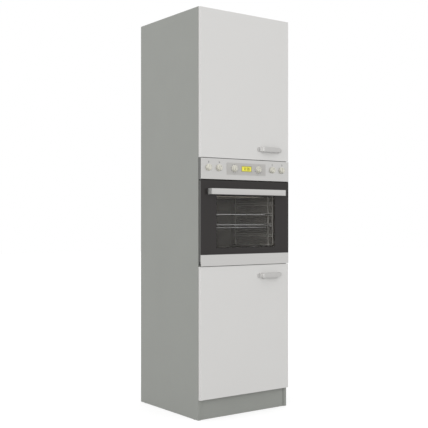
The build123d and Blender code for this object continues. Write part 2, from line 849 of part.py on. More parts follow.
# Oven cavity: an enamelled box with rounded corners, a front flange and a hole for the fan shaft
with BuildPart() as oven_cavity:
    with BuildSketch(mouth):
        with Locations((0, cavity_mid)):
            RectangleRounded(
                2 * (cavity_half + cavity_wall), cavity_height + 2 * cavity_wall, cavity_corner + cavity_wall
            )
    extrude(amount=-cavity_depth - cavity_wall)
    with BuildSketch(mouth):
        with Locations((0, cavity_mid)):
            RectangleRounded(
                2 * (cavity_half + cavity_flange),
                cavity_height + 2 * cavity_flange,
                cavity_corner + cavity_wall,
            )
    extrude(amount=-frame_sheet)
    with BuildSketch(mouth):
        with Locations((0, cavity_mid)):
            RectangleRounded(2 * cavity_half, cavity_height, cavity_corner)
    extrude(amount=-cavity_depth, mode=Mode.SUBTRACT)
    with BuildSketch(Plane.XZ.offset(-cavity_back)):
        with Locations((0, cavity_mid)):
            Circle(fan_shaft + seat_clearance)
    extrude(amount=-cavity_wall, mode=Mode.SUBTRACT)
oven_cavity.part.label = "oven_cavity"
export_step(oven_cavity.part, "parts/oven_cavity.step")

# Insulation: five slabs laid against the outside of the cavity
lagging_half = cavity_half + cavity_wall
lagging_low = cavity_bottom - cavity_wall
lagging_high = cavity_top + cavity_wall
lagging_front = front + frame_sheet

with BuildPart() as cavity_insulation:
    slab_outer = lagging_half + insulation
    for low, high in ((-slab_outer, -lagging_half), (lagging_half, slab_outer)):
        board_between(low, high, lagging_front, lagging_back, lagging_low, lagging_high)
    for low, high in ((lagging_low - insulation, lagging_low), (lagging_high, lagging_high + insulation)):
        inset_half = lagging_half - seat_clearance
        board_between(-inset_half, inset_half, lagging_front, lagging_back, low, high)
    board_between(-lagging_half, lagging_half, rear_low, rear_low + insulation, lagging_low, lagging_high)
    with BuildSketch(Plane.XZ.offset(-rear_low)):
        with Locations((0, cavity_mid)):
            Circle(fan_shaft + seat_clearance)
    extrude(amount=-insulation, mode=Mode.SUBTRACT)
cavity_insulation.part.label = "cavity_insulation"
export_step(cavity_insulation.part, "parts/cavity_insulation.step")

# Door gasket: a soft ring on the cavity's flange, just short of the door's inner pane
gasket_inner = gasket_from_mouth
gasket_outer = gasket_from_mouth + gasket_width

with BuildPart() as door_gasket:
    with BuildSketch(mouth):
        with Locations((0, cavity_mid)):
            RectangleRounded(
                2 * (cavity_half + gasket_outer),
                cavity_height + 2 * gasket_outer,
                cavity_corner + gasket_outer,
            )
            RectangleRounded(
                2 * (cavity_half + gasket_inner),
                cavity_height + 2 * gasket_inner,
                cavity_corner + gasket_inner,
                mode=Mode.SUBTRACT,
            )
    extrude(amount=inner_pane_gap - seat_clearance)
door_gasket.part.label = "door_gasket"
export_step(door_gasket.part, "parts/door_gasket.step")

# Side racks: a wire frame with a brace behind its front upright, and at each level a bent runner
# with a thinner guard wire over it. Pegs hold the frame off the cavity wall.
rack_outer = cavity_half - rack_from_wall
rack_inner = rack_outer - rack_frame_wire
rack_frame_radius = rack_frame_wire / 2
runner_radius = rack_wire / 2
guard_radius = rack_guard_wire / 2
runner_inner = rack_inner - rack_reach
rack_front = front + rack_front_gap
rack_back = rack_front + rack_depth
rack_low = cavity_bottom + cavity_corner
rack_high = cavity_top - cavity_corner
runner_levels = [cavity_bottom + rack_first + rack_pitch * level for level in range(rack_levels)]
upright_ends = (rack_front + rack_frame_radius, rack_back - rack_frame_radius)
frame_ends = (rack_low + rack_frame_radius, rack_high - rack_frame_radius)

for side, rack_name in ((-1, "left_side_rack"), (1, "right_side_rack")):
    wall_x = side * (rack_outer - rack_frame_radius)
    reach_x = side * (runner_inner + runner_radius)
    with BuildPart() as side_rack:
        with BuildLine(Plane.YZ.offset(wall_x)) as frame_route:
            FilletPolyline(
                (upright_ends[0], frame_ends[0]),
                (upright_ends[1], frame_ends[0]),
                (upright_ends[1], frame_ends[1]),
                (upright_ends[0], frame_ends[1]),
                radius=rack_corner,
                close=True,
            )
        with BuildSketch(Plane(origin=frame_route.line @ 0, z_dir=frame_route.line % 0)):
            Circle(rack_frame_radius)
        sweep()
        with BuildSketch(Plane.XY.offset(frame_ends[0])):
            with Locations((wall_x, upright_ends[0] + rack_brace_pitch)):
                Circle(runner_radius)
        extrude(amount=frame_ends[1] - frame_ends[0])
        for level in runner_levels:
            for lift, radius in ((0, runner_radius), (rack_guard_lift, guard_radius)):
                wire_z = level + runner_radius + lift
                with BuildLine(Plane.XY.offset(wire_z)):
                    FilletPolyline(
                        (wall_x, upright_ends[0]),
                        (reach_x, upright_ends[0]),
                        (reach_x, upright_ends[1]),
                        (wall_x, upright_ends[1]),
                        radius=rack_bend,
                    )
                with BuildSketch(Plane.YZ.offset(wall_x)):
                    with Locations((upright_ends[0], wire_z)):
                        Circle(radius)
                sweep()
        with BuildSketch(Plane.YZ.offset(wall_x)):
            for y in upright_ends:
                with Locations((y, rack_low + rack_peg_rise), (y, rack_high - rack_peg_rise)):
                    Circle(runner_radius)
        extrude(amount=side * (rack_from_wall + rack_frame_radius))
    side_rack.part.label = rack_name
    export_step(side_rack.part, f"parts/{rack_name}.step")

# Wire shelf: a round frame with thinner bars over two cross wires, on one pair of runners
grid_half = rack_inner - wire_shelf_gap
shelf_frame_radius = shelf_frame_wire / 2
grid_z = runner_levels[shelf_level_index] + rack_wire + seat_clearance + shelf_frame_radius
grid_middle_y = rack_front + wire_shelf_depth / 2 - wire_shelf_gap
grid_reach_x = grid_half - shelf_frame_radius
grid_reach_y = wire_shelf_depth / 2 - shelf_frame_radius
bar_pitch = 2 * grid_reach_x / (wire_count + 1)
cross_pitch = 2 * grid_reach_y / (cross_wire_count + 1)

with BuildPart() as wire_shelf:
    with BuildLine(Plane.XY.offset(grid_z)) as shelf_route:
        FilletPolyline(
            (-grid_reach_x, grid_middle_y - grid_reach_y),
            (grid_reach_x, grid_middle_y - grid_reach_y),
            (grid_reach_x, grid_middle_y + grid_reach_y),
            (-grid_reach_x, grid_middle_y + grid_reach_y),
            radius=shelf_corner,
            close=True,
        )
    with BuildSketch(Plane(origin=shelf_route.line @ 0, z_dir=shelf_route.line % 0)):
        Circle(shelf_frame_radius)
    sweep()
    with BuildSketch(Plane.XZ.offset(grid_reach_y - grid_middle_y)):
        with Locations((0, grid_z + shelf_weave)):
            with GridLocations(bar_pitch, 0, wire_count, 1):
                Circle(shelf_wire / 2)
    extrude(amount=-2 * grid_reach_y)
    with BuildSketch(Plane.YZ.offset(-grid_reach_x)):
        with Locations((grid_middle_y, grid_z - shelf_weave / 2)):
            with GridLocations(cross_pitch, 0, cross_wire_count, 1):
                Circle(shelf_cross_wire / 2)
    extrude(amount=2 * grid_reach_x)
wire_shelf.part.label = "wire_shelf"
export_step(wire_shelf.part, "parts/wire_shelf.step")

# Baking tray: a shallow pan whose rim rests on another pair of runners
tray_rim_z = runner_levels[tray_level_index] + rack_wire + seat_clearance

with BuildPart() as baking_tray:
    with BuildSketch(Plane.XY.offset(tray_rim_z)):
        with Locations((0, grid_middle_y)):
            RectangleRounded(2 * grid_half, wire_shelf_depth, tray_corner)
    extrude(amount=tray_wall)
    with BuildSketch(Plane.XY.offset(tray_rim_z + tray_wall)):
        with Locations((0, grid_middle_y)):
            RectangleRounded(
                2 * (grid_half - tray_rim), wire_shelf_depth - 2 * tray_rim, tray_corner
            )
    extrude(amount=-tray_depth, taper=tray_taper)
    with BuildSketch(Plane.XY.offset(tray_rim_z + tray_wall)):
        with Locations((0, grid_middle_y)):
            RectangleRounded(
                2 * (grid_half - tray_rim - tray_wall),
                wire_shelf_depth - 2 * (tray_rim + tray_wall),
                tray_corner - tray_wall,
            )
    extrude(amount=-tray_depth + tray_wall, taper=tray_taper, mode=Mode.SUBTRACT)
baking_tray.part.label = "baking_tray"
export_step(baking_tray.part, "parts/baking_tray.step")

# Grill element: one bent tube under the cavity's roof, both ends in the rear wall
element_z = cavity_top - element_drop
element_front = front + element_front_gap
element_rear = cavity_back - element_front_gap

with BuildPart() as grill_element:
    with BuildLine(Plane.XY.offset(element_z)):
        FilletPolyline(
            (-element_inner_half, cavity_back),
            (-element_inner_half, element_rear),
            (-element_half, element_rear),
            (-element_half, element_front),
            (element_half, element_front),
            (element_half, element_rear),
            (element_inner_half, element_rear),
            (element_inner_half, cavity_back),
            radius=element_bend,
        )
    with BuildSketch(Plane.XZ.offset(-cavity_back)):
        with Locations((-element_inner_half, element_z)):
            Circle(element_radius)
    sweep()
grill_element.part.label = "grill_element"
export_step(grill_element.part, "parts/grill_element.step")

# Lamp lens: a glass dome on the cavity's rear wall
with BuildPart() as lamp_lens:
    with BuildSketch(Plane.XZ.offset(-cavity_back)):
        with Locations((lamp_x, cavity_top - lamp_drop)):
            Circle(lamp_radius)
    extrude(amount=lamp_reach)
    fillet(lamp_lens.edges().sort_by(Axis.Y)[0], radius=lamp_reach * 3 / 4)
lamp_lens.part.label = "lamp_lens"
export_step(lamp_lens.part, "parts/lamp_lens.step")

# Fan cover: a shallow pressed box with a ring of slots, over the fan in the cavity's rear wall
with BuildPart() as fan_cover:
    with BuildSketch(Plane.XZ.offset(-cavity_back)):
        with Locations((0, cavity_mid)):
            RectangleRounded(2 * fan_cover_half, 2 * fan_cover_half, fan_cover_corner)
    extrude(amount=fan_cover_depth)
    with BuildSketch(Plane.XZ.offset(-cavity_back)):
        with Locations((0, cavity_mid)):
            RectangleRounded(
                2 * (fan_cover_half - fan_cover_sheet),
                2 * (fan_cover_half - fan_cover_sheet),
                fan_cover_corner - fan_cover_sheet,
            )
    extrude(amount=fan_cover_depth - fan_cover_sheet, mode=Mode.SUBTRACT)
    with BuildSketch(Plane.XZ.offset(-cavity_back)):
        with Locations((0, cavity_mid)):
            with PolarLocations((fan_slot_inner + fan_slot_outer) / 2, fan_slot_count):
                SlotOverall(fan_slot_outer - fan_slot_inner, fan_slot)
    extrude(amount=fan_cover_depth, mode=Mode.SUBTRACT)
fan_cover.part.label = "fan_cover"
export_step(fan_cover.part, "parts/fan_cover.step")

# Fan: a disc with blades round its rim, on a shaft that runs back to the motor
fan_back = cavity_back - fan_wall_gap

with BuildPart() as fan_impeller:
    with BuildSketch(Plane.XZ.offset(-fan_back)):
        with Locations((0, cavity_mid)):
            Circle(fan_radius)
    extrude(amount=fan_disc)
    with BuildSketch(Plane.XZ.offset(-fan_back)):
        with Locations((0, cavity_mid)):
            with PolarLocations((fan_blade_inner + fan_radius) / 2, fan_blades):
                Rectangle(fan_radius - fan_blade_inner - fan_blade, fan_blade)
    extrude(amount=fan_blade_depth)
    with BuildSketch(Plane.XZ.offset(-fan_back)):
        with Locations((0, cavity_mid)):
            Circle(fan_hub)
    extrude(amount=fan_hub_length)
    with BuildSketch(Plane.XZ.offset(-fan_back)):
        with Locations((0, cavity_mid)):
            Circle(fan_shaft)
    extrude(amount=fan_back - motor_face - motor_length / 2)
fan_impeller.part.label = "fan_impeller"
export_step(fan_impeller.part, "parts/fan_impeller.step")

with BuildPart() as fan_motor:
    with BuildSketch(Plane.XZ.offset(-motor_face)):
        with Locations((0, cavity_mid)):
            RectangleRounded(2 * motor_plate_half, motor_radius, motor_radius / 6)
    extrude(amount=-motor_plate)
    with BuildSketch(Plane.XZ.offset(-motor_face)):
        with Locations((0, cavity_mid)):
            Circle(motor_radius)
    extrude(amount=-motor_length)
    with BuildSketch(Plane.XZ.offset(-motor_face)):
        with Locations((0, cavity_mid)):
            Circle(fan_shaft + pin_clearance)
    extrude(amount=-motor_length / 2 - seat_clearance, mode=Mode.SUBTRACT)
fan_motor.part.label = "fan_motor"
export_step(fan_motor.part, "parts/fan_motor.step")

# Oven door: a glass pane over a steel trim, both carried by a frame of four profiles
glass_front = front - oven_proud
oven_half = half_width - oven_side_inset
stile_bottom = oven_pivot_z + stile_lift
stile_top = door_glass_top - stile_head_gap
stile_inner = stile_half - stile_width

with BuildPart() as oven_door_glass:
    board_between(-oven_half, oven_half, glass_front, outer_back, door_glass_bottom, door_glass_top)
    fillet(oven_door_glass.faces().sort_by(Axis.Y)[0].edges(), radius=frame_sheet / 2)
oven_door_glass.part.label = "oven_door_glass"
export_step(oven_door_glass.part, "parts/oven_door_glass.step")

with BuildPart() as oven_door_trim:
    trim_top = door_glass_bottom - seat_clearance
    board_between(-oven_half, oven_half, glass_front, glass_front + trim_sheet, oven_front_bottom, trim_top)
    board_between(-oven_half, oven_half, glass_front, outer_back, trim_top - trim_sheet, trim_top)
    for side in (-1, 1):
        x_low, x_high = sorted((side * (oven_half - trim_sheet), side * oven_half))
        board_between(x_low, x_high, glass_front, outer_back, stile_bottom, trim_top)
oven_door_trim.part.label = "oven_door_trim"
export_step(oven_door_trim.part, "parts/oven_door_trim.step")

with BuildPart() as oven_door_frame:
    for side in (-1, 1):
        x_low, x_high = sorted((side * stile_inner, side * stile_half))
        board_between(x_low, x_high, outer_back, inner_front, stile_bottom, stile_top)
    rail_half = stile_inner - seat_clearance
    for z in (stile_bottom, stile_top - rail_height):
        board_between(-rail_half, rail_half, outer_back, inner_front, z, z + rail_height)
oven_door_frame.part.label = "oven_door_frame"
export_step(oven_door_frame.part, "parts/oven_door_frame.step")

with BuildPart() as oven_inner_pane:
    pane_reach = gasket_outer + inner_pane_margin
    pane_low = cavity_bottom - pane_reach
    pane_high = cavity_top + pane_reach
    pane_half = cavity_half + pane_reach
    board_between(-pane_half, pane_half, inner_front, inner_front + pane, pane_low, pane_high)
oven_inner_pane.part.label = "oven_inner_pane"
export_step(oven_inner_pane.part, "parts/oven_inner_pane.step")

# Oven handle: a flat bar on two end posts, cut from one U outline
oven_handle_z = door_glass_top - oven_handle_drop
handle_front = glass_front - oven_handle_reach

with BuildPart() as oven_door_handle:
    with BuildSketch(Plane.XY.offset(oven_handle_z - oven_handle_height / 2)):
        with Locations((0, (handle_front + glass_front) / 2)):
            Rectangle(oven_handle_length, oven_handle_reach)
        with Locations((0, (handle_front + oven_handle_bar + glass_front) / 2)):
            Rectangle(
                oven_handle_length - 2 * oven_handle_post,
                oven_handle_reach - oven_handle_bar,
                mode=Mode.SUBTRACT,
            )
    extrude(amount=oven_handle_height)
    fillet(oven_door_handle.faces().sort_by(Axis.Y)[0].edges(), radius=grip_round)
oven_door_handle.part.label = "oven_door_handle"
export_step(oven_door_handle.part, "parts/oven_door_handle.step")

# Oven hinge arms: a plate on the outside of each stile, with the pin that turns in the frame's ear
with BuildPart() as oven_hinge_arms:
    for side in (-1, 1):
        arm_back = inner_front - seat_clearance
        arm_front = oven_pivot_y - arm_plate
        with BuildSketch(Plane.YZ.offset(side * stile_half)):
            with Locations((oven_pivot_y, oven_pivot_z)):
                Circle(pivot_boss_radius)
            with Locations(((arm_front + arm_back) / 2, oven_pivot_z + arm_height / 2)):
                Rectangle(arm_back - arm_front, arm_height)
        extrude(amount=side * arm_plate)
        with BuildSketch(Plane.YZ.offset(side * stile_half)):
            with Locations((oven_pivot_y, oven_pivot_z)):
                Circle(pivot_pin_radius)
        extrude(amount=side * (arm_plate + ear_gap + ear_thickness + ear_gap))
oven_hinge_arms.part.label = "oven_hinge_arms"
export_step(oven_hinge_arms.part, "parts/oven_hinge_arms.step")

# Control panel: a steel box open at the back, pierced for the knob shafts and the display
knob_z = oven_front_top - knob_centre_drop
insert_middle_z = oven_front_top - insert_drop - insert_height / 2
shaft_hole = knob_shaft + pin_clearance
display_clear = 2 * seat_clearance

with BuildPart() as control_panel:
    board_between(-oven_half, oven_half, glass_front, front, fascia_bottom, oven_front_top)
    fillet(control_panel.faces().sort_by(Axis.Y)[0].edges(), radius=frame_sheet)
    board_between(
        -oven_half + fascia_sheet,
        oven_half - fascia_sheet,
        glass_front + fascia_sheet,
        front,
        fascia_bottom + fascia_sheet,
        oven_front_top - fascia_sheet,
        mode=Mode.SUBTRACT,
    )
    with BuildSketch(Plane.XZ.offset(-glass_front)):
        with Locations(*[(x, knob_z) for x in knob_places.values()]):
            Circle(shaft_hole)
        with Locations((0, knob_z)):
            Rectangle(2 * display_half + display_clear, display_height + display_clear)
    extrude(amount=-fascia_sheet, mode=Mode.SUBTRACT)
control_panel.part.label = "control_panel"
export_step(control_panel.part, "parts/control_panel.step")

insert_knobs = [(x, knob_z) for x in knob_places.values() if abs(x) < insert_half]

with BuildPart() as control_insert:
    with BuildSketch(Plane.XZ.offset(-glass_front)):
        with Locations((0, insert_middle_z)):
            RectangleRounded(2 * insert_half, insert_height, insert_corner)
        with Locations(*insert_knobs):
            Circle(shaft_hole, mode=Mode.SUBTRACT)
        with Locations((0, knob_z)):
            Rectangle(2 * display_half + display_clear, display_height + display_clear, mode=Mode.SUBTRACT)
    extrude(amount=insert_thickness)
control_insert.part.label = "control_insert"
export_step(control_insert.part, "parts/control_insert.step")

with BuildPart() as clock_display:
    with BuildSketch(Plane.XZ.offset(-glass_front + insert_thickness + display_proud)):
        with Locations((0, knob_z)):
            Rectangle(2 * display_half, display_height)
    extrude(amount=-insert_thickness - display_proud - display_depth)
clock_display.part.label = "clock_display"
export_step(clock_display.part, "parts/clock_display.step")

# Knobs: a tapered cap over a skirt, with a grip bar left by two side cuts, on a shaft
for knob_name, x in knob_places.items():
    seat = glass_front - knob_gap - (insert_thickness if abs(x) < insert_half else 0)
    knob_face = Plane.XZ.offset(-seat)
    with BuildPart() as knob:
        with BuildSketch(knob_face):
            with Locations((x, knob_z)):
                Circle(knob_skirt_radius)
        extrude(amount=knob_skirt)
        with BuildSketch(knob_face):
            with Locations((x, knob_z)):
                Circle(knob_radius)
        extrude(amount=knob_reach, taper=knob_taper)
        fillet(knob.edges().filter_by(GeomType.CIRCLE).sort_by(Axis.Y)[0], radius=knob_skirt / 2)
        with BuildSketch(knob_face.offset(knob_reach)):
            with Locations((x, knob_z)):
                with GridLocations(2 * knob_grip_bite, knob_radius, 2, 1):
                    Rectangle(2 * (knob_grip_bite - knob_grip), 2 * knob_radius)
        extrude(amount=-knob_grip_depth, mode=Mode.SUBTRACT)
        with BuildSketch(knob_face):
            with Locations((x, knob_z)):
                Circle(knob_shaft)
        extrude(amount=-knob_shaft_length)
    knob.part.label = knob_name
    export_step(knob.part, f"parts/{knob_name}.step")
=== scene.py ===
import json
import math

import bmesh
import bpy
from mathutils import Matrix, Vector


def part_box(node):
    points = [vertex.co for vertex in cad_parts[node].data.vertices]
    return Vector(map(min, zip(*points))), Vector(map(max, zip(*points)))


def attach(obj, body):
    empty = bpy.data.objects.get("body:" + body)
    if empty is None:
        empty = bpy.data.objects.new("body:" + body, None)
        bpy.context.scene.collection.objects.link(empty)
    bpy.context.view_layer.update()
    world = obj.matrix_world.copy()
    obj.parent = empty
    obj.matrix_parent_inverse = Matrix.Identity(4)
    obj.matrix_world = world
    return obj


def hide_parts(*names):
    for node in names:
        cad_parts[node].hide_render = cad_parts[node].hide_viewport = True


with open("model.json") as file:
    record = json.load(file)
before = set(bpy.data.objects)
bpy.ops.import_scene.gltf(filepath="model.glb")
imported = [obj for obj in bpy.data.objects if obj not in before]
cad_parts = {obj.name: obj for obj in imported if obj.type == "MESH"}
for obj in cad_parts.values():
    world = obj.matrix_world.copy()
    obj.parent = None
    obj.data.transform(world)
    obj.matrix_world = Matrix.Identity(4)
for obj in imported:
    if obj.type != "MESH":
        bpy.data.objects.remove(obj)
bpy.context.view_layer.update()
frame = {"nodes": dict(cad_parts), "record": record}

bl_info = {
    "name": "Oven Housing Cabinet",
    "version": (1, 0, 0),
    "blender": (4, 5, 0),
    "location": "View3D > Sidebar > Cabinet",
    "description": "Finishes and fine pieces of a tall kitchen unit with a built-in oven",
    "category": "Object",
}

MM = 0.001
PRINT = 0.06 * MM  # thickness of a printed coat of ink
WHITE = (1, 1, 1, 1)
UP = Vector((0, 0, 1))
STAND = Matrix.Rotation(math.radians(90), 4, "X")  # turns flat print upright, to face the front
DOORS = ("lower", "upper")
KNOBS = (
    "hob_knob_far_left",
    "hob_knob_left",
    "function_knob",
    "temperature_knob",
    "hob_knob_right",
    "hob_knob_far_right",
)
# A dial's numbers, their height, their distance from the knob's middle and the degrees between them
TEMPERATURE_DIAL = ("0 50 75 100 125 150 175 200 225 250", 5 * MM, 22.5 * MM, 30)
HOB_DIAL = ("0 1 2 3 4 5 6", 3.4 * MM, 21.5 * MM, 45)


def linear(code):
    """The scene's linear colour of an sRGB hex value, with an alpha of 1."""
    parts = [int(code[i : i + 2], 16) / 255 for i in (1, 3, 5)]
    curve = [c / 12.92 if c <= 0.04045 else ((c + 0.055) / 1.055) ** 2.4 for c in parts]
    return (*curve, 1.0)


def add_node(tree, kind, feeds=None, leads=None, **settings):
    """Adds a node with its settings, fills or links its inputs and links its outputs."""
    made = tree.nodes.new(kind)
    for key, value in settings.items():
        setattr(made, key, value)
    for key, value in (feeds or {}).items():
        if isinstance(value, bpy.types.NodeSocket):
            tree.links.new(value, made.inputs[key])
        else:
            made.inputs[key].default_value = value
    for key, socket in (leads or {}).items():
        tree.links.new(made.outputs[key], socket)
    return made


def new_finish(name, colour, **sockets):
    """A material of one Principled shader, its tree, the shader's inputs and Object coordinates."""
    made = bpy.data.materials.new(name)
    made.use_nodes = True
    tree = made.node_tree
    tree.nodes.clear()
    feeds = {key.replace("_", " "): value for key, value in sockets.items()}
    shader = add_node(tree, "ShaderNodeBsdfPrincipled", {"Base Color": colour, **feeds})
    add_node(tree, "ShaderNodeOutputMaterial", {"Surface": shader.outputs["BSDF"]})
    place = add_node(tree, "ShaderNodeTexCoord").outputs["Object"]
    return made, tree, shader.inputs, place


def tint(colour, share):
    """A colour made lighter or darker by a factor."""
    return (*[min(c * share, 1.0) for c in colour[:3]], 1.0)


def swatch(name):
    """The colour that the user chose, as four numbers."""
    return (*getattr(bpy.context.scene.cabinet_colours, name), 1.0)


# Melamine-faced chipboard, pressed against a pearl plate: an even grey with a fine satin grain
def melamine():
    colour = swatch("carcass")
    made, tree, into, place = new_finish("melamine_grey", colour, Roughness=0.42, IOR=1.5)
    cloud = add_node(tree, "ShaderNodeTexNoise", {"Vector": place, "Scale": 6.0, "Detail": 3.0})
    add_node(
        tree,
        "ShaderNodeMix",
        {0: cloud.outputs[0], 6: tint(colour, 0.97), 7: tint(colour, 1.03)},
        {2: into["Base Color"]},
        data_type="RGBA",
    )
    # Pearl grain is about 0.8 mm across; drawn at 1.6 mm so that it shows
    grain = add_node(
        tree, "ShaderNodeTexNoise", {"Vector": place, "Scale": 1 / (1.6 * MM), "Detail": 2.0}
    )
    add_node(
        tree,
        "ShaderNodeBump",
        {"Height": grain.outputs[0], "Strength": 0.06, "Distance": 0.1 * MM},
        {"Normal": into["Normal"]},
    )
    return made


# High-gloss lacquer on fibreboard, sprayed: near white, mirror-like, with a faint orange peel
def lacquer():
    colour = swatch("doors")
    made, tree, into, place = new_finish("gloss_lacquer_white", colour, Roughness=0.1, IOR=1.48)
    peel = add_node(
        tree, "ShaderNodeTexNoise", {"Vector": place, "Scale": 1 / (7 * MM), "Detail": 1.0}
    )
    add_node(
        tree,
        "ShaderNodeBump",
        {"Height": peel.outputs[0], "Strength": 0.05, "Distance": 0.05 * MM},
        {"Normal": into["Normal"]},
    )
    cloud = add_node(tree, "ShaderNodeTexNoise", {"Vector": place, "Scale": 2.2, "Detail": 1.0})
    add_node(
        tree,
        "ShaderNodeMix",
        {0: cloud.outputs[0], 6: tint(colour, 0.99), 7: tint(colour, 1.01)},
        {2: into["Base Color"]},
        data_type="RGBA",
    )
    return made


# Painted hardboard: a thin white coat over pressed fibres, which stay just visible
def hardboard():
    colour = linear("#D2D0CA")
    made, tree, into, place = new_finish("painted_hardboard", colour, Roughness=0.6)
    stretch = add_node(tree, "ShaderNodeMapping", {"Vector": place, "Scale": (1.0, 1.0, 3.0)})
    fibre = add_node(
        tree,
        "ShaderNodeTexNoise",
        {"Vector": stretch.outputs["Vector"], "Scale": 1 / (4 * MM), "Detail": 4.0},
    )
    ramp = add_node(
        tree,
        "ShaderNodeMapRange",
        {"Value": fibre.outputs[0], "From Min": 0.35, "From Max": 0.65},
    )
    add_node(
        tree,
        "ShaderNodeMix",
        {0: ramp.outputs["Result"], 6: tint(colour, 0.94), 7: tint(colour, 1.03)},
        {2: into["Base Color"]},
        data_type="RGBA",
    )
    return made


# Strip and sheet metals, ground on a belt or rolled: fine lines along one axis
def brushed(name, colour, roughness, line, along, depth):
    made, tree, into, place = new_finish(name, colour, Roughness=roughness, Metallic=1.0)
    stretch = add_node(tree, "ShaderNodeMapping", {"Vector": place, "Scale": along})
    lines = add_node(
        tree,
        "ShaderNodeTexNoise",
        {"Vector": stretch.outputs["Vector"], "Scale": 1 / line, "Detail": 2.0},
    )
    add_node(
        tree,
        "ShaderNodeMix",
        {0: lines.outputs[0], 6: tint(colour, 1 - depth), 7: tint(colour, 1 + depth)},
        {2: into["Base Color"]},
        data_type="RGBA",
    )
    add_node(
        tree,
        "ShaderNodeMapRange",
        {"Value": lines.outputs[0], "To Min": roughness - 0.06, "To Max": roughness + 0.08},
        {"Result": into["Roughness"]},
    )
    return made


# Hot-dip galvanised sheet: zinc crystals about 12 mm across, each with its own grey
def galvanised():
    colour = linear("#A9ACAE")
    made, tree, into, place = new_finish("galvanised_sheet", colour, Roughness=0.38, Metallic=1.0)
    spangle = add_node(tree, "ShaderNodeTexVoronoi", {"Vector": place, "Scale": 1 / (12 * MM)})
    grey = add_node(tree, "ShaderNodeSeparateColor", {"Color": spangle.outputs["Color"]})
    add_node(
        tree,
        "ShaderNodeMix",
        {0: grey.outputs["Red"], 6: tint(colour, 0.94), 7: tint(colour, 1.06)},
        {2: into["Base Color"]},
        data_type="RGBA",
    )
    add_node(
        tree,
        "ShaderNodeMapRange",
        {"Value": grey.outputs["Green"], "To Min": 0.36, "To Max": 0.44},
        {"Result": into["Roughness"]},
    )
    return made


# Plated steel wire, strip and fittings: smooth, with slight changes of gloss from handling
def plated(name, colour, roughness, patch=20 * MM, metallic=1.0):
    made, tree, into, place = new_finish(name, colour, Roughness=roughness, Metallic=metallic)
    cloud = add_node(
        tree, "ShaderNodeTexNoise", {"Vector": place, "Scale": 1 / patch, "Detail": 3.0}
    )
    add_node(
        tree,
        "ShaderNodeMapRange",
        {"Value": cloud.outputs[0], "To Min": roughness * 0.7, "To Max": roughness * 1.4},
        {"Result": into["Roughness"]},
    )
    return made


# Vitreous enamel, fired on steel: glossy, with paler specks of about 1 mm, drawn at 1.8 mm
def enamel(name, ground, speck, amount):
    made, tree, into, place = new_finish(name, ground, Roughness=0.22, IOR=1.55)
    specks = add_node(
        tree, "ShaderNodeTexNoise", {"Vector": place, "Scale": 1 / (1.8 * MM), "Detail": 2.0}
    )
    mask = add_node(
        tree,
        "ShaderNodeMapRange",
        {"Value": specks.outputs[0], "From Min": 0.62 - amount, "From Max": 0.66 - amount},
    )
    add_node(
        tree,
        "ShaderNodeMix",
        {0: mask.outputs["Result"], 6: ground, 7: speck},
        {2: into["Base Color"]},
        data_type="RGBA",
    )
    return made


# Moulded plastic, paint and powder coat: a fine grain of about 0.5 mm, drawn at 1 mm
def moulded(name, colour, roughness, metallic=0.0):
    made, tree, into, place = new_finish(name, colour, Roughness=roughness, Metallic=metallic)
    grain = add_node(tree, "ShaderNodeTexNoise", {"Vector": place, "Scale": 1 / MM, "Detail": 2.0})
    add_node(
        tree,
        "ShaderNodeBump",
        {"Height": grain.outputs[0], "Strength": 0.1, "Distance": 0.05 * MM},
        {"Normal": into["Normal"]},
    )
    add_node(
        tree,
        "ShaderNodeMapRange",
        {"Value": grain.outputs[0], "To Min": roughness - 0.04, "To Max": roughness + 0.04},
        {"Result": into["Roughness"]},
    )
    return made


# Toughened float glass, printed black from behind around a smoked window: deep and mirror-smooth,
# with an IOR under the 1.5 of glass, so that it mirrors less of the white around it, and a grey
# colour lighter than black print that stands in for the rest of that shine: painted reflection
def door_glass():
    size = bpy.context.scene.cabinet_glass
    # Lighter than black print: part of the glass's shine, painted into its colour
    colour = linear("#302D2C")
    made, tree, into, place = new_finish("smoked_door_glass", colour, Roughness=0.03, IOR=1.34)
    axes = add_node(tree, "ShaderNodeSeparateXYZ", {"Vector": place})
    lift = add_node(
        tree,
        "ShaderNodeMath",
        {0: axes.outputs["Z"], 1: -(size.window_low + size.window_high) / 2},
        operation="ADD",
    )
    sides = (
        (axes.outputs["X"], size.window_half),
        (lift.outputs[0], (size.window_high - size.window_low) / 2),
    )
    masks = []
    for along, half in sides:
        away = add_node(tree, "ShaderNodeMath", {0: along}, operation="ABSOLUTE")
        inside = add_node(
            tree,
            "ShaderNodeMapRange",
            {"Value": away.outputs[0], "From Min": half, "From Max": half - size.print_fade},
        )
        masks.append(inside.outputs["Result"])
    window = add_node(tree, "ShaderNodeMath", {0: masks[0], 1: masks[1]}, operation="MULTIPLY")
    add_node(
        tree,
        "ShaderNodeMapRange",
        {"Value": window.outputs[0], "To Min": 1.0, "To Max": size.window_alpha},
        {"Result": into["Alpha"]},
    )
    return made


# Clear float glass: almost nothing but its shine, with a faint haze where it was wiped
def clear_glass(name, alpha, roughness):
    made, tree, into, place = new_finish(name, linear("#D2D0C8"), Roughness=roughness, IOR=1.5)
    smear = add_node(
        tree, "ShaderNodeTexNoise", {"Vector": place, "Scale": 1 / (40 * MM), "Detail": 2.0}
    )
    add_node(
        tree,
        "ShaderNodeMapRange",
        {"Value": smear.outputs[0], "To Min": alpha * 0.9, "To Max": alpha * 1.1},
        {"Result": into["Alpha"]},
    )
    return made


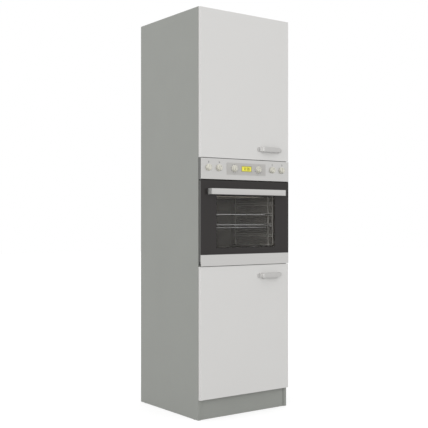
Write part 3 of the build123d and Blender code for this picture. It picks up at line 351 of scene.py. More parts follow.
# Stainless tube of the grill element, drawn without metal in a pale cream that stands in for the
# light it catches (painted sheen), with straw and cream patches of heat scale about 30 mm across
def heat_scale_and_painted_sheen():
    # The pale colour is painted sheen; the patches below are heat scale
    made, tree, into, place = new_finish("heat_scale_and_painted_sheen", linear("#D8D0C4"), Roughness=0.45)
    cloud = add_node(
        tree, "ShaderNodeTexNoise", {"Vector": place, "Scale": 1 / (30 * MM), "Detail": 3.0}
    )
    add_node(
        tree,
        "ShaderNodeMix",
        {0: cloud.outputs[0], 6: linear("#C9C0B4"), 7: linear("#F0E6D6")},
        {2: into["Base Color"]},
        data_type="RGBA",
    )
    return made


# Braided glass-fibre cord soaked in silicone: dark, matt, with diagonal strands 3 mm wide
def braid():
    made, tree, into, place = new_finish("gasket_braid", linear("#2A2A2B"), Roughness=0.75)
    turn = add_node(
        tree, "ShaderNodeMapping", {"Vector": place, "Rotation": (0, math.radians(45), 0)}
    )
    plait = add_node(
        tree, "ShaderNodeTexWave", {"Vector": turn.outputs["Vector"], "Scale": 1 / (20 * MM)}
    )
    add_node(
        tree,
        "ShaderNodeMix",
        {0: plait.outputs[0], 6: linear("#1D1D1E"), 7: linear("#47474A")},
        {2: into["Base Color"]},
        data_type="RGBA",
    )
    return made


# Mineral wool slab: matted yellow-brown fibres with denser and looser patches
def wool():
    made, tree, into, place = new_finish("mineral_wool", linear("#B9A572"), Roughness=0.95)
    stretch = add_node(tree, "ShaderNodeMapping", {"Vector": place, "Scale": (1.0, 3.0, 1.0)})
    fibre = add_node(
        tree,
        "ShaderNodeTexNoise",
        {"Vector": stretch.outputs["Vector"], "Scale": 1 / (3 * MM), "Detail": 6.0},
    )
    add_node(
        tree,
        "ShaderNodeMix",
        {0: fibre.outputs[0], 6: linear("#8E7A4C"), 7: linear("#D8C795")},
        {2: into["Base Color"]},
        data_type="RGBA",
    )
    add_node(
        tree,
        "ShaderNodeBump",
        {"Height": fibre.outputs[0], "Distance": 1 * MM},
        {"Normal": into["Normal"]},
    )
    return made


# Lit clock window: a yellow diffuser that fades to olive at its rounded edge
def lit_window():
    low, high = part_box("clock_display")
    middle = (low + high) / 2
    glow = swatch("display")
    made, tree, into, place = new_finish(
        "lit_clock_window", glow, Roughness=0.2, IOR=1.45, Emission_Strength=0.35
    )
    centre = add_node(
        tree, "ShaderNodeMapping", {"Vector": place, "Location": (-middle.x, 0, -middle.z)}
    )
    axes = add_node(tree, "ShaderNodeSeparateXYZ", {"Vector": centre.outputs["Vector"]})
    shares = []
    for axis, half in (("X", (high.x - low.x) / 2), ("Z", (high.z - low.z) / 2)):
        away = add_node(tree, "ShaderNodeMath", {0: axes.outputs[axis]}, operation="ABSOLUTE")
        share = add_node(
            tree,
            "ShaderNodeMapRange",
            {"Value": away.outputs[0], "From Min": half - 6 * MM, "From Max": half - 0.5 * MM},
        )
        shares.append(share.outputs["Result"])
    corner = add_node(tree, "ShaderNodeCombineXYZ", {0: shares[0], 1: shares[1]})
    rim = add_node(tree, "ShaderNodeVectorMath", {0: corner.outputs[0]}, operation="LENGTH")
    blend = add_node(
        tree,
        "ShaderNodeMix",
        {0: rim.outputs["Value"], 6: glow, 7: linear("#8E8C50")},
        data_type="RGBA",
    )
    for socket in ("Base Color", "Emission Color"):
        tree.links.new(blend.outputs[2], into[socket])
    return made


def make_finishes():
    """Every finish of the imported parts, by the record's slots, and one more for the side racks."""
    return {
        "carcass_laminate": melamine(),
        "white_lacquer": lacquer(),
        "back_fibreboard": hardboard(),
        # Stainless strip, ground along its length: lines about 0.3 mm apart, drawn at 0.8 mm
        "fascia_steel": brushed(
            "ground_stainless", swatch("steel"), 0.34, 0.8 * MM, (0.02, 1.0, 1.0), 0.035
        ),
        "insert_grey": moulded("printed_grey_film", swatch("insert"), 0.4),
        "display_lens": lit_window(),
        # Steel strip with a satin nickel plate: soft, even highlights
        "satin_handle": plated("satin_nickel", swatch("handles"), 0.42, 30 * MM),
        # Extruded aluminium, ground along its length and anodised: a soft silk of fine lines
        "oven_handle_aluminium": brushed(
            "anodised_aluminium", linear("#CBCAC8"), 0.36, 0.7 * MM, (0.03, 1.0, 1.0), 0.03
        ),
        "knob_silver": moulded("silver_painted_plastic", linear("#D9D7CC"), 0.3),
        "dark_glass": door_glass(),
        "clear_glass": clear_glass("clear_float_glass", 0.05, 0.03),
        "cavity_enamel": enamel("speckled_enamel", linear("#76716B"), linear("#B1ABA3"), 0.0),
        "frame_enamel": enamel("grey_enamel", linear("#6E6F6D"), linear("#83847F"), -0.04),
        "galvanised_sheet": galvanised(),
        "chromed_wire": plated("chromed_wire", linear("#D6D6D8"), 0.1),
        # Wire of the side racks: matt chrome drawn almost without metal in a near-white colour, a
        # painted sheen that stands in for the light the wire catches, so that it looks pale from
        # every side
        "rack_wire": plated("rack_wire_painted_sheen", linear("#F2EFE7"), 0.4, metallic=0.1),
        "tray_enamel": enamel("tray_enamel", linear("#151516"), linear("#3B3B40"), -0.02),
        "element_steel": heat_scale_and_painted_sheen(),
        "gasket_rubber": braid(),
        "mineral_wool": wool(),
        # Cold-rolled profile with a thin grey powder coat: matt and finely pebbled
        "profile_steel": moulded("grey_powder_coat", linear("#5E5E5C"), 0.5),
        "hinge_nickel": plated("bright_nickel", linear("#C9C6C0"), 0.2),
        "zinc_fitting": plated("zinc_plate", linear("#B4B7BA"), 0.3, 8 * MM),
        "glide_plastic": moulded("grey_polypropylene", linear("#4A4B4D"), 0.5),
        # Rolled aluminium sheet, pressed to shape: dull, with the lines of the roll
        "fan_steel": brushed("pressed_aluminium", linear("#A8A8A6"), 0.4, MM, (1, 1, 0.1), 0.05),
    }


def finish_named(slot):
    """The finish that stands for a material slot."""
    return bpy.data.materials[bpy.context.scene["cabinet_finishes"][slot]]


def keep(name, shape, body, slot, *nodes, finish=None, sharp=35):
    """Turns a bmesh into a finished piece that rides on a body and may stand for CAD nodes."""
    bmesh.ops.remove_doubles(shape, verts=shape.verts, dist=1e-6)
    bmesh.ops.recalc_face_normals(shape, faces=shape.faces)
    mesh = bpy.data.meshes.new(name)
    shape.to_mesh(mesh)
    shape.free()
    mesh.materials.append(finish or finish_named(slot))
    mesh.polygons.foreach_set("use_smooth", [True] * len(mesh.polygons))
    mesh.set_sharp_from_angle(angle=math.radians(sharp))
    piece = bpy.data.objects.new(name, mesh)
    bpy.context.scene.collection.objects.link(piece)
    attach(piece, body)
    if nodes:
        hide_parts(*nodes)
    return piece


def soft_block(shape, low, high, radius, segments=3):
    """Adds a block between two corners with all its edges rounded."""
    middle = (Vector(low) + Vector(high)) / 2
    size = Vector(high) - Vector(low)
    place = Matrix.Translation(middle) @ Matrix.Diagonal((*size, 1.0))
    made = bmesh.ops.create_cube(shape, size=1.0, matrix=place)["verts"]
    edges = list({edge for vert in made for edge in vert.link_edges})
    bmesh.ops.bevel(
        shape,
        geom=edges,
        offset=radius,
        offset_type="OFFSET",
        segments=segments,
        profile=0.5,
        affect="EDGES",
        material=-1,
        clamp_overlap=True,
    )


def paired_blocks(shape, low, high, radius, segments=3):
    """Adds a soft block between two corners on the right, its like on the left; gives the shape."""
    for side in (-1, 1):
        left, right = sorted((side * low[0], side * high[0]))
        soft_block(shape, (left, *low[1:]), (right, *high[1:]), radius, segments)
    return shape


def turned(shape, outline, centre, axis, steps=48):
    """Spins an outline of (radius, distance along the axis) points round an axis at a centre."""
    axis = Vector(axis).normalized()
    side = axis.orthogonal().normalized()
    verts = [shape.verts.new(Vector(centre) + side * r + axis * h) for r, h in outline]
    edges = [shape.edges.new(pair) for pair in zip(verts, verts[1:])]
    bmesh.ops.spin(
        shape,
        geom=verts + edges,
        cent=centre,
        axis=axis,
        dvec=(0, 0, 0),
        angle=math.tau,
        steps=steps,
        use_merge=True,
        use_duplicate=False,
    )


def rod(shape, place, radius, depth, sides):
    """Adds a closed round rod; a matrix gives its middle and its heading."""
    bmesh.ops.create_cone(
        shape,
        cap_ends=True,
        segments=sides,
        radius1=radius,
        radius2=radius,
        depth=depth,
        matrix=place,
    )


def straight_wire(shape, start, end, radius):
    """Adds a round wire between two points."""
    start = Vector(start)
    run = Vector(end) - start
    place = Matrix.Translation(start + run / 2) @ UP.rotation_difference(run).to_matrix().to_4x4()
    rod(shape, place, radius, run.length, 12)


def pour_curve(shape, curve, place=Matrix()):
    """Adds the mesh of a curve or a text to a shape, moved to its place, and removes the curve."""
    holder = bpy.data.objects.new(curve.name, curve)
    bpy.context.scene.collection.objects.link(holder)
    bpy.context.view_layer.update()
    graph = bpy.context.evaluated_depsgraph_get()
    mesh = bpy.data.meshes.new_from_object(holder.evaluated_get(graph))
    mesh.transform(place)
    shape.from_mesh(mesh)
    bpy.data.objects.remove(holder)
    bpy.data.curves.remove(curve)
    bpy.data.meshes.remove(mesh)


def bent_wire(shape, corners, radius, bend, closed=False):
    """Adds a round wire that runs from corner to corner with a bend of that radius at each."""
    curve = bpy.data.curves.new("wire", "CURVE")
    curve.dimensions = "3D"
    curve.bevel_depth = radius
    curve.bevel_resolution = 3
    curve.resolution_u = 6
    curve.use_fill_caps = True
    points = []
    count = len(corners)
    for i, corner in enumerate(corners):
        here = Vector(corner)
        if not closed and i in (0, count - 1):
            points.append((here, here, here))
            continue
        before = (Vector(corners[i - 1]) - here).normalized()
        after = (Vector(corners[(i + 1) % count]) - here).normalized()
        # The handle inside the bend makes it a quarter round, the other keeps the run straight
        near, far = 0.45 * bend, 1.28 * bend
        points.append((here + before * bend, here + before * far, here + before * near))
        points.append((here + after * bend, here + after * near, here + after * far))
    spline = curve.splines.new("BEZIER")
    spline.bezier_points.add(len(points) - 1)
    spline.use_cyclic_u = closed
    for point, (place, left, right) in zip(spline.bezier_points, points):
        point.co, point.handle_left, point.handle_right = place, left, right
    pour_curve(shape, curve)


def bow_place(along, pieces):
    """Place and heading on a route of (length, curl) pieces, at a distance along it."""
    x, y, heading = 0.0, 0.0, 0.0
    for run, curl in pieces:
        step = min(along, run)
        if curl:
            x += (math.sin(heading + curl * step) - math.sin(heading)) / curl
            y += (math.cos(heading) - math.cos(heading + curl * step)) / curl
            heading += curl * step
        else:
            x += math.cos(heading) * step
            y += math.sin(heading) * step
        along -= step
        if along <= 0:
            break
    return x, y, heading


def printed_text(shape, words, size, place):
    """Adds flat lettering that faces the front, centred on a place."""
    curve = bpy.data.curves.new("print", "FONT")
    curve.body = words
    curve.size = size
    curve.extrude = PRINT / 2
    curve.align_x = "CENTER"
    curve.align_y = "CENTER"
    curve.resolution_u = 3
    pour_curve(shape, curve, Matrix.Translation(place) @ STAND)


def flat_disc(shape, place, radius, sides=20):
    """Adds a thin printed dot that faces the front."""
    rod(shape, Matrix.Translation(place) @ STAND, radius, PRINT, sides)


def dial_place(centre, radius, degrees):
    """A point on a dial: degrees run clockwise from straight up, seen from the front."""
    angle = math.radians(degrees)
    return centre + radius * Vector((math.sin(angle), 0, math.cos(angle)))


def number_field(label, words, value, **more):
    """A number that the user may change."""
    return bpy.props.FloatProperty(name=label, description=words, default=value, **more)


def length_field(label, words, value):
    """A length that the user may change, in metres."""
    return number_field(label, words, value, unit="LENGTH", precision=5)


def colour_field(label, words, code):
    """A colour that the user may change."""
    return bpy.props.FloatVectorProperty(
        name=label,
        description=words,
        default=linear(code)[:3],
        subtype="COLOR",
        size=3,
        min=0.0,
        max=1.0,
    )


class CabinetColours(bpy.types.PropertyGroup):
    """Colours that a kitchen planner would change."""

    carcass: colour_field("Carcass", "Melamine of the sides, shelves and plinth", "#999B96")
    doors: colour_field("Doors", "Lacquer of the two doors", "#DEDDDB")
    steel: colour_field("Steel", "Control panel and lower strip of the oven", "#CDCCCA")
    insert: colour_field("Insert", "Film behind the middle knobs and the clock", "#BDBBB8")
    handles: colour_field("Handles", "Plate of the door handles", "#C6C5C3")
    display: colour_field("Clock light", "Lit part of the clock window", "#DAD245")


class CabinetGlass(bpy.types.PropertyGroup):
    """The see-through window of the oven door."""

    window_half: length_field("Window half width", "Half of the unprinted window", 200 * MM)
    window_low: length_field("Window foot", "Height of the window's lower edge", 889 * MM)
    window_high: length_field("Window head", "Height of the window's upper edge", 1168 * MM)
    print_fade: length_field("Print fade", "Width over which the black print fades out", 4 * MM)
    window_alpha: number_field(
        "Window tint", "How much the smoked window covers", 0.08, min=0.0, max=1.0, subtype="FACTOR"
    )


class CabinetKnobs(bpy.types.PropertyGroup):
    """Sizes of the oven's rotary knobs."""

    skirt: length_field("Skirt radius", "Radius of the thin skirt", 18 * MM)
    skirt_height: length_field("Skirt height", "Height of the skirt", 2.5 * MM)
    cap: length_field("Cap radius", "Radius of the cap at the skirt", 15.4 * MM)
    cap_height: length_field("Cap height", "Height of the cap without its grip", 12 * MM)
    grip: length_field("Grip width", "Width of the grip bar", 9.6 * MM)
    reach: length_field("Reach", "Height of the whole knob over its seat", 19 * MM)
    edge: length_field("Edge", "Rounding of the grip bar", 2.2 * MM)


class CabinetWires(bpy.types.PropertyGroup):
    """Sizes of the roasting grid that lies on the baking tray."""

    frame_radius: length_field("Frame wire", "Radius of the outer wire", 2 * MM)
    bar_radius: length_field("Bar wire", "Radius of the bars", 1.3 * MM)
    drop: length_field("Drop", "How far the front grip hangs down", 14 * MM)
    bars: bpy.props.IntProperty(
        name="Bars", description="How many bars the grid has", default=15, min=2
    )


class CabinetHandles(bpy.types.PropertyGroup):
    """Sizes of the door handles; their length, width and reach come from the frame."""

    thickness: length_field("Thickness", "Thickness of the strip", 3 * MM)
    foot: length_field("Foot", "Length of the flat foot", 22 * MM)
    slope: length_field("Slope", "Length over which the strip rises", 8 * MM)
    bend: length_field("Bend", "Radius of the bends at the strip's middle", 5 * MM)


class CabinetStage(bpy.types.PropertyGroup):
    """Light and camera."""

    world: number_field("World", "Light from all around", 1.0, min=0.0)
    key: number_field("Key", "Power of the key lamp", 48.0, min=0.0, unit="POWER")
    fill: number_field("Fill", "Power of the fill lamp", 40.0, min=0.0, unit="POWER")
    lens: number_field("Lens", "Focal length in mm", 70.09, min=1.0)
    turn: number_field("Turn", "Heading of the camera", math.radians(-36.148), subtype="ANGLE")
    shift: number_field("Shift", "Upward shift of the frame", 0.01394)


class CABINET_OT_finishes(bpy.types.Operator):
    """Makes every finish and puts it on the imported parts"""

    bl_idname = "cabinet.finishes"
    bl_label = "Finishes"

    def execute(self, context):
        made = make_finishes()
        context.scene["cabinet_finishes"] = {slot: finish.name for slot, finish in made.items()}
        for part in frame["record"]["subparts"]:
            node = frame["nodes"][part["node"]]
            rack = part["node"].endswith("_side_rack")
            for holder in node.material_slots:
                holder.material = made["rack_wire" if rack else part["material_slot"]]
        return {"FINISHED"}


class CABINET_OT_knobs(bpy.types.Operator):
    """Turned knobs with a skirt, a cap, a grip bar and a pointer line"""

    bl_idname = "cabinet.knobs"
    bl_label = "Knobs"

    def execute(self, context):
        size = context.scene.cabinet_knobs
        # Ink printed on the paint: dark grey, a little less glossy than the knob
        ink = moulded("pointer_ink", linear("#4A4A48"), 0.45)
        for name in KNOBS:
            low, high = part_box(name)
            centre = (low + high) / 2
            centre.y = low.y + size.reach
            shape = bmesh.new()
            round_off = 0.8 * MM
            # The skirt with softened rims, then the cap, which tapers and rolls over into its face
            outline = (
                (0.0, 0.0),
                (size.skirt - round_off, 0.0),
                (size.skirt, round_off),
                (size.skirt, size.skirt_height - round_off),
                (size.skirt - round_off, size.skirt_height),
                (size.cap, size.skirt_height),
                (size.cap - round_off / 2, size.skirt_height + round_off / 2),
                (size.cap - 0.7 * MM, size.cap_height - 2 * round_off),
                (size.cap - 1.2 * MM, size.cap_height - round_off / 2),
                (size.cap - 2.4 * MM, size.cap_height),
                (0.0, size.cap_height),
            )
            turned(shape, outline, centre, (0, -1, 0))
            half = size.grip / 2
            run = size.cap - 1.4 * MM
            soft_block(
                shape,
                (centre.x - half, centre.y - size.reach, centre.z - run),
                (centre.x + half, centre.y - size.cap_height + MM, centre.z + run),
                size.edge,
            )
            keep(name + "_turned", shape, name, "knob_silver", name)
            line = bmesh.new()
            soft_block(
                line,
                (centre.x - 0.7 * MM, centre.y - size.reach - 0.1 * MM, centre.z + run - 10 * MM),
                (centre.x + 0.7 * MM, centre.y - size.reach + 0.5 * MM, centre.z + run - size.edge),
                0.08 * MM,
                1,
            )
            keep(name + "_pointer", line, name, "knob_silver", finish=ink)
        return {"FINISHED"}


class CABINET_OT_dials(bpy.types.Operator):
    """Printed marks and numbers round the knobs"""

    bl_idname = "cabinet.dials"
    bl_label = "Dial print"

    def execute(self, context):
        # Screen-printed ink: dark grey and matt beside the steel
        ink = moulded("dial_ink", linear("#3A3A38"), 0.5)
        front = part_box("control_panel")[0].y - PRINT / 2
        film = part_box("control_insert")[0].y - PRINT / 2
        for name in KNOBS:
            low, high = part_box(name)
            middle = name in ("function_knob", "temperature_knob")
            centre = (low + high) / 2
            centre.y = film if middle else front
            shape = bmesh.new()
            if name == "function_knob":
                for i in range(9):
                    self.draw_symbol(shape, dial_place(centre, 22 * MM, i * 40), i)
            else:
                words, size, radius, step = TEMPERATURE_DIAL if middle else HOB_DIAL
                for i, word in enumerate(words.split()):
                    printed_text(shape, word, size, dial_place(centre, radius, i * step))
            if not middle:
                self.draw_hob(shape, centre + Vector((0, 0, 30 * MM)), KNOBS.index(name))
            keep(name + "_print", shape, "cabinet", "fascia_steel", finish=ink)
        return {"FINISHED"}

    def draw_symbol(self, shape, spot, index):
        """A small plain cooking symbol: a dot for off, else one to three bars."""
        if index == 0:
            flat_disc(shape, spot, 1.6 * MM)
            return
        for lift, wanted in ((2 * MM, index % 3 != 1), (-2 * MM, index % 3 != 2), (0, index > 4)):
            if wanted:
                place = Matrix.Translation(spot + Vector((0, 0, lift)))
                bar = place @ Matrix.Diagonal((4.8 * MM, PRINT, 1.1 * MM, 1.0))
                bmesh.ops.create_cube(shape, size=1.0, matrix=bar)

    def draw_hob(self, shape, spot, index):
        """Four dots in a square, one of them larger: the mark of a cooking zone."""
        apart = 5 * MM
        for corner in range(4):
            offset = Vector(((corner % 2 - 0.5) * apart, 0, (corner // 2 - 0.5) * apart))
            radius = (2.2 if corner == index % 4 else 1.3) * MM
            flat_disc(shape, spot + offset, radius, sides=16)


class CABINET_OT_clock(bpy.types.Operator):
    """Dark digits on the lit clock window, and the thin frame round it"""

    bl_idname = "cabinet.clock"
    bl_label = "Clock digits and frame"

    def execute(self, context):
        low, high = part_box("clock_display")
        # Dark segments of the display, tinted olive by the light behind them
        ink = moulded("clock_ink", linear("#2B2A06"), 0.5)
        shape = bmesh.new()
        face = low.y - PRINT / 2
        # A digit's height and width between its bars' middles, a bar's thickness and length
        size = 12 * MM
        wide = 6.4 * MM
        thick = 2.3 * MM
        tall = (size - thick) / 2
        gap = 0.2 * MM
        segments = {"1": "i", "2": "abged", "3": "abgcd", "0": "abcdef"}
        places = {
            "a": ((0, size / 2), (wide + thick, thick)),
            "g": ((0, 0), (wide - thick, thick)),
            "d": ((0, -size / 2), (wide + thick, thick)),
            "b": ((wide / 2, tall / 2), (thick, tall)),
            "c": ((wide / 2, -tall / 2), (thick, tall)),
            "f": ((-wide / 2, tall / 2), (thick, tall)),
            "e": ((-wide / 2, -tall / 2), (thick, tall)),
            "i": ((wide / 2, 0), (thick, size + thick)),
        }
        middle = (low + high) / 2
        for digit, x in zip("1230", (-17.8 * MM, -7.6 * MM, 6.2 * MM, 16 * MM)):
            for segment in segments[digit]:
                (dx, dz), (w, h) = places[segment]
                spot = Matrix.Translation((middle.x + x + dx, face, middle.z + dz))
                bar = spot @ Matrix.Diagonal((w - gap, PRINT, h - gap, 1.0))
                bmesh.ops.create_cube(shape, size=1.0, matrix=bar)
        for dz in (-3 * MM, 3 * MM):
            colon = Vector((middle.x - 0.7 * MM, face, middle.z + dz))
            flat_disc(shape, colon, 0.9 * MM)
        keep("clock_digits", shape, "cabinet", "display_lens", finish=ink)
        rim = bmesh.new()
        proud, deep, half = low.y - 0.3 * MM, low.y + 0.6 * MM, 0.6 * MM
        for x in (low.x, high.x):
            soft_block(
                rim, (x - half, proud, low.z - half), (x + half, deep, high.z + half), 0.15 * MM, 1
            )
        for z in (low.z, high.z):
            soft_block(
                rim, (low.x + half, proud, z - half), (high.x - half, deep, z + half), 0.15 * MM, 1
            )
        # A matt dark grey edge, darker than the film around it, that stands in for the shade line
        # round the clock window: painted shade
        grey = moulded("clock_frame_painted_shade", linear("#8C8B86"), 0.45)
        keep("clock_frame", rim, "cabinet", "insert_grey", finish=grey)
        return {"FINISHED"}


class CABINET_OT_tray(bpy.types.Operator):
    """Enamelled baking tray with a rolled rim and rounded corners"""

    bl_idname = "cabinet.tray"
    bl_label = "Baking tray"

    def execute(self, context):
        low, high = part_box("baking_tray")
        middle = (low + high) / 2
        wide, deep = high.x - low.x, high.y - low.y
        sheet = 1.2 * MM
        shape = bmesh.new()
        top = high.z - 0.3 * MM
        place = Matrix.Translation((middle.x, middle.y, top)) @ Matrix.Diagonal((wide, deep, 1, 1))
        bmesh.ops.create_grid(shape, x_segments=1, y_segments=1, size=0.5, matrix=place)
        bmesh.ops.bevel(
            shape,
            geom=list(shape.verts),
            offset=14 * MM,
            segments=6,
            profile=0.5,
            affect="VERTICES",
            material=-1,
        )
        face = max(shape.faces, key=lambda f: f.calc_area())
        bmesh.ops.inset_region(shape, faces=[face], thickness=12 * MM, use_even_offset=True)
        # How far each ring lies inside the last and below it: the rim's turn, the wall and its foot
        for inset, drop in ((0.8 * MM, MM), (3.6 * MM, 17 * MM), (3 * MM, 3 * MM)):
            bmesh.ops.inset_region(shape, faces=[face], thickness=inset, use_even_offset=True)
            bmesh.ops.translate(shape, verts=face.verts, vec=(0, 0, -drop))
        bmesh.ops.recalc_face_normals(shape, faces=shape.faces)
        bmesh.ops.solidify(shape, geom=list(shape.faces), thickness=-sheet)
        keep("baking_tray_pressed", shape, "cabinet", "tray_enamel", "baking_tray", sharp=50)
        return {"FINISHED"}


class CABINET_OT_tray_grid(bpy.types.Operator):
    """Chromed roasting grid on the tray's rim: an outer loop, a row of bars and a front grip"""

    bl_idname = "cabinet.tray_grid"
    bl_label = "Roasting grid"

    def execute(self, context):
        size = context.scene.cabinet_wires
        radius = size.frame_radius
        low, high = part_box("baking_tray")
        z = high.z + radius + 0.3 * MM
        inset = 3 * MM + radius
        left, right = low.x + inset, high.x - inset
        front, rear = low.y + inset, high.y - inset
        shape = bmesh.new()
        loop = ((left, front, z), (right, front, z), (right, rear, z), (left, rear, z))
        bent_wire(shape, loop, radius, 12 * MM, closed=True)
        for i in range(size.bars):
            x = left + (right - left) * (i + 1) / (size.bars + 1)
            straight_wire(shape, (x, front, z), (x, rear, z), size.bar_radius)
        face = low.y - radius - 1.5 * MM
        start, end = left + 12 * MM, right - 12 * MM
        foot = z - size.drop
        grip = (
            (start, front, z),
            (start, face, z),
            (start, face, foot),
            (end, face, foot),
            (end, face, z),
            (end, front, z),
        )
        bent_wire(shape, grip, size.bar_radius, 3 * MM)
        keep("roasting_grid", shape, "cabinet", "chromed_wire", sharp=60)
        return {"FINISHED"}


class CABINET_OT_bow_handles(bpy.types.Operator):
    """Bow handles: a flat strip bent twice at each end, with feet that end in a half round"""

    bl_idname = "cabinet.bow_handles"
    bl_label = "Door handles"

    def execute(self, context):
        size = context.scene.cabinet_handles
        for door in DOORS:
            node = door + "_door_handle"
            low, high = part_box(node)
            wide = high.z - low.z
            rise = high.y - low.y - size.thickness
            turn = math.atan2(rise, size.slope)
            cut = size.bend * math.tan(turn / 2)
            half = (high.x - low.x) / 2
            pieces = (
                (size.foot - cut, 0.0),
                (size.bend * turn, 1 / size.bend),
                (math.hypot(size.slope, rise) - 2 * cut, 0.0),
                (size.bend * turn, -1 / size.bend),
                (half - size.foot - size.slope - cut, 0.0),
            )
            middle = sum(piece[0] for piece in pieces)
            shape = bmesh.new()
            edge = size.thickness / 3
            soft_block(
                shape,
                (-middle, -size.thickness / 2, -wide / 2),
                (middle, size.thickness / 2, wide / 2),
                edge,
            )
            slices = 90
            for i in range(1, slices):
                # The cuts lie closer together towards the feet and their round ends
                share = 1 - math.cos(math.pi * i / slices)
                bmesh.ops.bisect_plane(
                    shape,
                    geom=shape.verts[:] + shape.edges[:] + shape.faces[:],
                    plane_co=(middle * (share - 1), 0, 0),
                    plane_no=(1, 0, 0),
                )
            centre = (low + high) / 2
            centre.y = high.y - size.thickness / 2
            for vert in shape.verts:
                side = -1 if vert.co.x < 0 else 1
                along = middle - abs(vert.co.x)
                x, y, heading = bow_place(along, pieces)
                if along < wide / 2:
                    # The half round of the foot, which keeps a narrow end face
                    vert.co.z *= math.sqrt(max(1 - (1 - 2 * along / wide) ** 2, 0.03))
                out = -vert.co.y
                x -= out * math.sin(heading)
                y += out * math.cos(heading)
                vert.co = centre + Vector((side * (half - x), -y, vert.co.z))
            keep(node + "_bent", shape, door + "_door", "satin_handle", node, sharp=50)
        return {"FINISHED"}


class CABINET_OT_oven_handle(bpy.types.Operator):
    """Oven handle: a ground bar with softened edges between two cast end posts"""

    bl_idname = "cabinet.oven_handle"
    bl_label = "Oven handle"

    def execute(self, context):
        low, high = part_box("oven_door_handle")
        bar = 9 * MM
        post = 13 * MM
        cap = 3 * MM
        shape = bmesh.new()
        soft_block(
            shape, (low.x + cap, low.y, low.z), (high.x - cap, low.y + bar, high.z), 1.2 * MM
        )
        keep("oven_handle_bar", shape, "oven_door", "oven_handle_aluminium", "oven_door_handle")
        # Painted zinc die-casting: a flat grey, darker than the ground bar
        cast = moulded("painted_zinc_casting", linear("#A3A3A1"), 0.4)
        shape = bmesh.new()
        paired_blocks(shape, (high.x - post, low.y + bar, low.z), high, 0.8 * MM)
        paired_blocks(
            shape, (high.x - cap, low.y, low.z), (high.x, low.y + bar + MM, high.z), 0.8 * MM
        )
        keep("oven_handle_ends", shape, "oven_door", "oven_handle_aluminium", finish=cast)
        return {"FINISHED"}


class CABINET_OT_door_caps(bpy.types.Operator):
    """Caps and side profiles of the oven door, panel ends, plinth seals and soft door stops"""

    bl_idname = "cabinet.door_caps"
    bl_label = "Caps and stops"

    def execute(self, context):
        low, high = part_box("oven_door_glass")
        # Moulded polyamide, black here and grey at the panel's ends: plain and matt
        black = moulded("black_polyamide", linear("#1C1C1C"), 0.5)
        caps = paired_blocks(
            bmesh.new(),
            (high.x - 14 * MM, low.y + 0.6 * MM, high.z),
            (high.x - 0.5 * MM, high.y + 12 * MM, high.z + 4 * MM),
            0.6 * MM,
        )
        keep("oven_door_caps", caps, "oven_door", "profile_steel", finish=black)
        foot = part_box("oven_door_trim")[0].z + 22 * MM
        profiles = paired_blocks(
            bmesh.new(),
            (high.x - 7.5 * MM, high.y, foot),
            (high.x - 0.7 * MM, high.y + 14 * MM, high.z - 4 * MM),
            MM,
        )
        keep("oven_door_side_profiles", profiles, "oven_door", "profile_steel")
        low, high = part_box("control_panel")
        grey = moulded("grey_polyamide", linear("#6E6E6C"), 0.5)
        ends = paired_blocks(
            bmesh.new(),
            (high.x - 0.2 * MM, low.y + 1.2 * MM, low.z + 0.8 * MM),
            (high.x + 0.9 * MM, high.y - 0.4 * MM, high.z - 0.8 * MM),
            0.3 * MM,
            1,
        )
        keep("control_panel_ends", ends, "cabinet", "profile_steel", finish=grey)
        low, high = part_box("plinth_board")
        seals = paired_blocks(
            bmesh.new(),
            (high.x - 5 * MM, low.y - 3.4 * MM, low.z + MM),
            (high.x, low.y, high.z - MM),
            1.5 * MM,
        )
        keep("plinth_end_seals", seals, "cabinet", "carcass_laminate")
        # Cast polyurethane: clear drops, milky and dull beside glass
        clear = clear_glass("cast_polyurethane", 0.75, 0.4)
        for door in DOORS:
            low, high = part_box(door + "_door_panel")
            shape = bmesh.new()
            for z in (low.z + 30 * MM, high.z - 30 * MM):
                outline = (
                    (0.0, 0.85 * MM),
                    (2.5 * MM, 0.75 * MM),
                    (4.2 * MM, 0.3 * MM),
                    (4.5 * MM, 0.0),
                    (0.0, 0.0),
                )
                turned(shape, outline, Vector((high.x - 9 * MM, high.y, z)), (0, 1, 0), 20)
            keep(door + "_door_stops", shape, door + "_door", "glide_plastic", finish=clear)
        return {"FINISHED"}


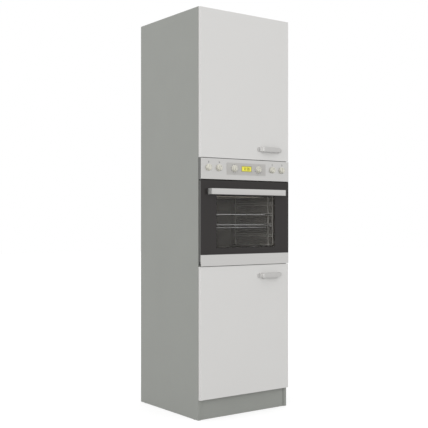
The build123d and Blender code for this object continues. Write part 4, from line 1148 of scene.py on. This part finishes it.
class CABINET_OT_stage(bpy.types.Operator):
    """Floor, light and camera"""

    bl_idname = "cabinet.stage"
    bl_label = "Stage"

    def execute(self, context):
        scene = context.scene
        size = scene.cabinet_stage
        scene.view_settings.view_transform = "Standard"
        world = bpy.data.worlds.new("studio")
        scene.world = world
        world.use_nodes = True
        tree = world.node_tree
        tree.nodes.clear()
        seen = self.seen_factor(tree, "Is Camera Ray", "Is Glossy Ray", "Is Transmission Ray")
        lit = add_node(tree, "ShaderNodeBackground", {"Color": WHITE, "Strength": size.world})
        white = add_node(tree, "ShaderNodeBackground", {"Color": WHITE, "Strength": 1.0})
        mix = add_node(
            tree,
            "ShaderNodeMixShader",
            {0: seen, 1: lit.outputs["Background"], 2: white.outputs["Background"]},
        )
        add_node(tree, "ShaderNodeOutputWorld", {"Surface": mix.outputs["Shader"]})
        shape = bmesh.new()
        bmesh.ops.create_grid(shape, x_segments=1, y_segments=1, size=20)
        mesh = bpy.data.meshes.new("floor")
        shape.to_mesh(mesh)
        shape.free()
        floor = bpy.data.objects.new("floor", mesh)
        scene.collection.objects.link(floor)
        mesh.materials.append(self.floor_finish())
        self.add_lamp(scene, "key", size.key, 3.5, (-5.5, -2.2, 1.9))
        fill = self.add_lamp(scene, "fill", size.fill, 3.0, (-1.2, -6.0, 1.8))
        # Left out of reflections, where it would burn out the steel seen from the front
        fill.visible_glossy = False
        lens = bpy.data.cameras.new("camera")
        lens.lens = size.lens
        lens.sensor_width = 36.0
        lens.shift_y = size.shift
        camera = bpy.data.objects.new("camera", lens)
        # Fitted to the photograph: level, just under the object's middle, from the front left
        camera.location = (-2.76924, -3.77628, 1.03756)
        camera.rotation_euler = (math.radians(90), 0, size.turn)
        scene.collection.objects.link(camera)
        scene.camera = camera
        return {"FINISHED"}

    def seen_factor(self, tree, *rays):
        """1 for rays of the kinds named, such as those that the camera sends."""
        ray = add_node(tree, "ShaderNodeLightPath")
        seen = ray.outputs[rays[0]]
        for kind in rays[1:]:
            both = add_node(
                tree, "ShaderNodeMath", {0: seen, 1: ray.outputs[kind]}, operation="MAXIMUM"
            )
            seen = both.outputs[0]
        return seen

    def floor_finish(self):
        """White floor that keeps a soft shadow and is a little darker in a reflection."""
        made = bpy.data.materials.new("studio_floor")
        made.use_nodes = True
        tree = made.node_tree
        tree.nodes.clear()
        pale = add_node(tree, "ShaderNodeBsdfDiffuse", {"Color": (0.4, 0.4, 0.4, 1)})
        seen = self.seen_factor(tree, "Is Camera Ray", "Is Transmission Ray")
        mirrored = self.seen_factor(tree, "Is Glossy Ray")
        last = pale
        # How much glow brings the floor up to the white around it, in a mirror and to the camera
        for factor, strength in ((mirrored, 0.5), (seen, 0.68)):
            glow = add_node(tree, "ShaderNodeEmission", {"Color": WHITE, "Strength": strength})
            both = add_node(tree, "ShaderNodeAddShader", {0: pale.outputs[0], 1: glow.outputs[0]})
            last = add_node(
                tree, "ShaderNodeMixShader", {0: factor, 1: last.outputs[0], 2: both.outputs[0]}
            )
        add_node(tree, "ShaderNodeOutputMaterial", {"Surface": last.outputs[0]})
        return made

    def add_lamp(self, scene, name, power, side, place):
        """A large soft lamp that points at about the object's middle."""
        light = bpy.data.lights.new(name, "AREA")
        light.energy = power
        light.size = side
        lamp = bpy.data.objects.new(name, light)
        lamp.location = place
        beam = Vector((0, 0, 1.1)) - Vector(place)
        lamp.rotation_euler = beam.to_track_quat("-Z", "Y").to_euler()
        scene.collection.objects.link(lamp)
        return lamp


class CABINET_PT_sidebar(bpy.types.Panel):
    """Lists the cabinet's steps and the values behind them"""

    bl_label = "Oven Housing Cabinet"
    bl_space_type = "VIEW_3D"
    bl_region_type = "UI"
    bl_category = "Cabinet"

    def draw(self, context):
        layout = self.layout
        for operator in OPERATORS:
            layout.operator(operator.bl_idname)
        for name, group in GROUPS.items():
            box = layout.box()
            for key in group.__annotations__:
                box.prop(getattr(context.scene, name), key)


GROUPS = {
    "cabinet_colours": CabinetColours,
    "cabinet_glass": CabinetGlass,
    "cabinet_knobs": CabinetKnobs,
    "cabinet_wires": CabinetWires,
    "cabinet_handles": CabinetHandles,
    "cabinet_stage": CabinetStage,
}

OPERATORS = (
    CABINET_OT_finishes,
    CABINET_OT_knobs,
    CABINET_OT_dials,
    CABINET_OT_clock,
    CABINET_OT_tray,
    CABINET_OT_tray_grid,
    CABINET_OT_bow_handles,
    CABINET_OT_oven_handle,
    CABINET_OT_door_caps,
    CABINET_OT_stage,
)

CLASSES = (*GROUPS.values(), *OPERATORS, CABINET_PT_sidebar)


def register():
    for cls in CLASSES:
        bpy.utils.register_class(cls)
    for name, group in GROUPS.items():
        setattr(bpy.types.Scene, name, bpy.props.PointerProperty(type=group))


def unregister():
    for name in GROUPS:
        delattr(bpy.types.Scene, name)
    for cls in reversed(CLASSES):
        bpy.utils.unregister_class(cls)


def main():
    """Runs every step in order."""
    register()
    for operator in OPERATORS:
        family, step = operator.bl_idname.split(".")
        getattr(getattr(bpy.ops, family), step)()
    bpy.context.view_layer.update()


if __name__ == "__main__":
    main()
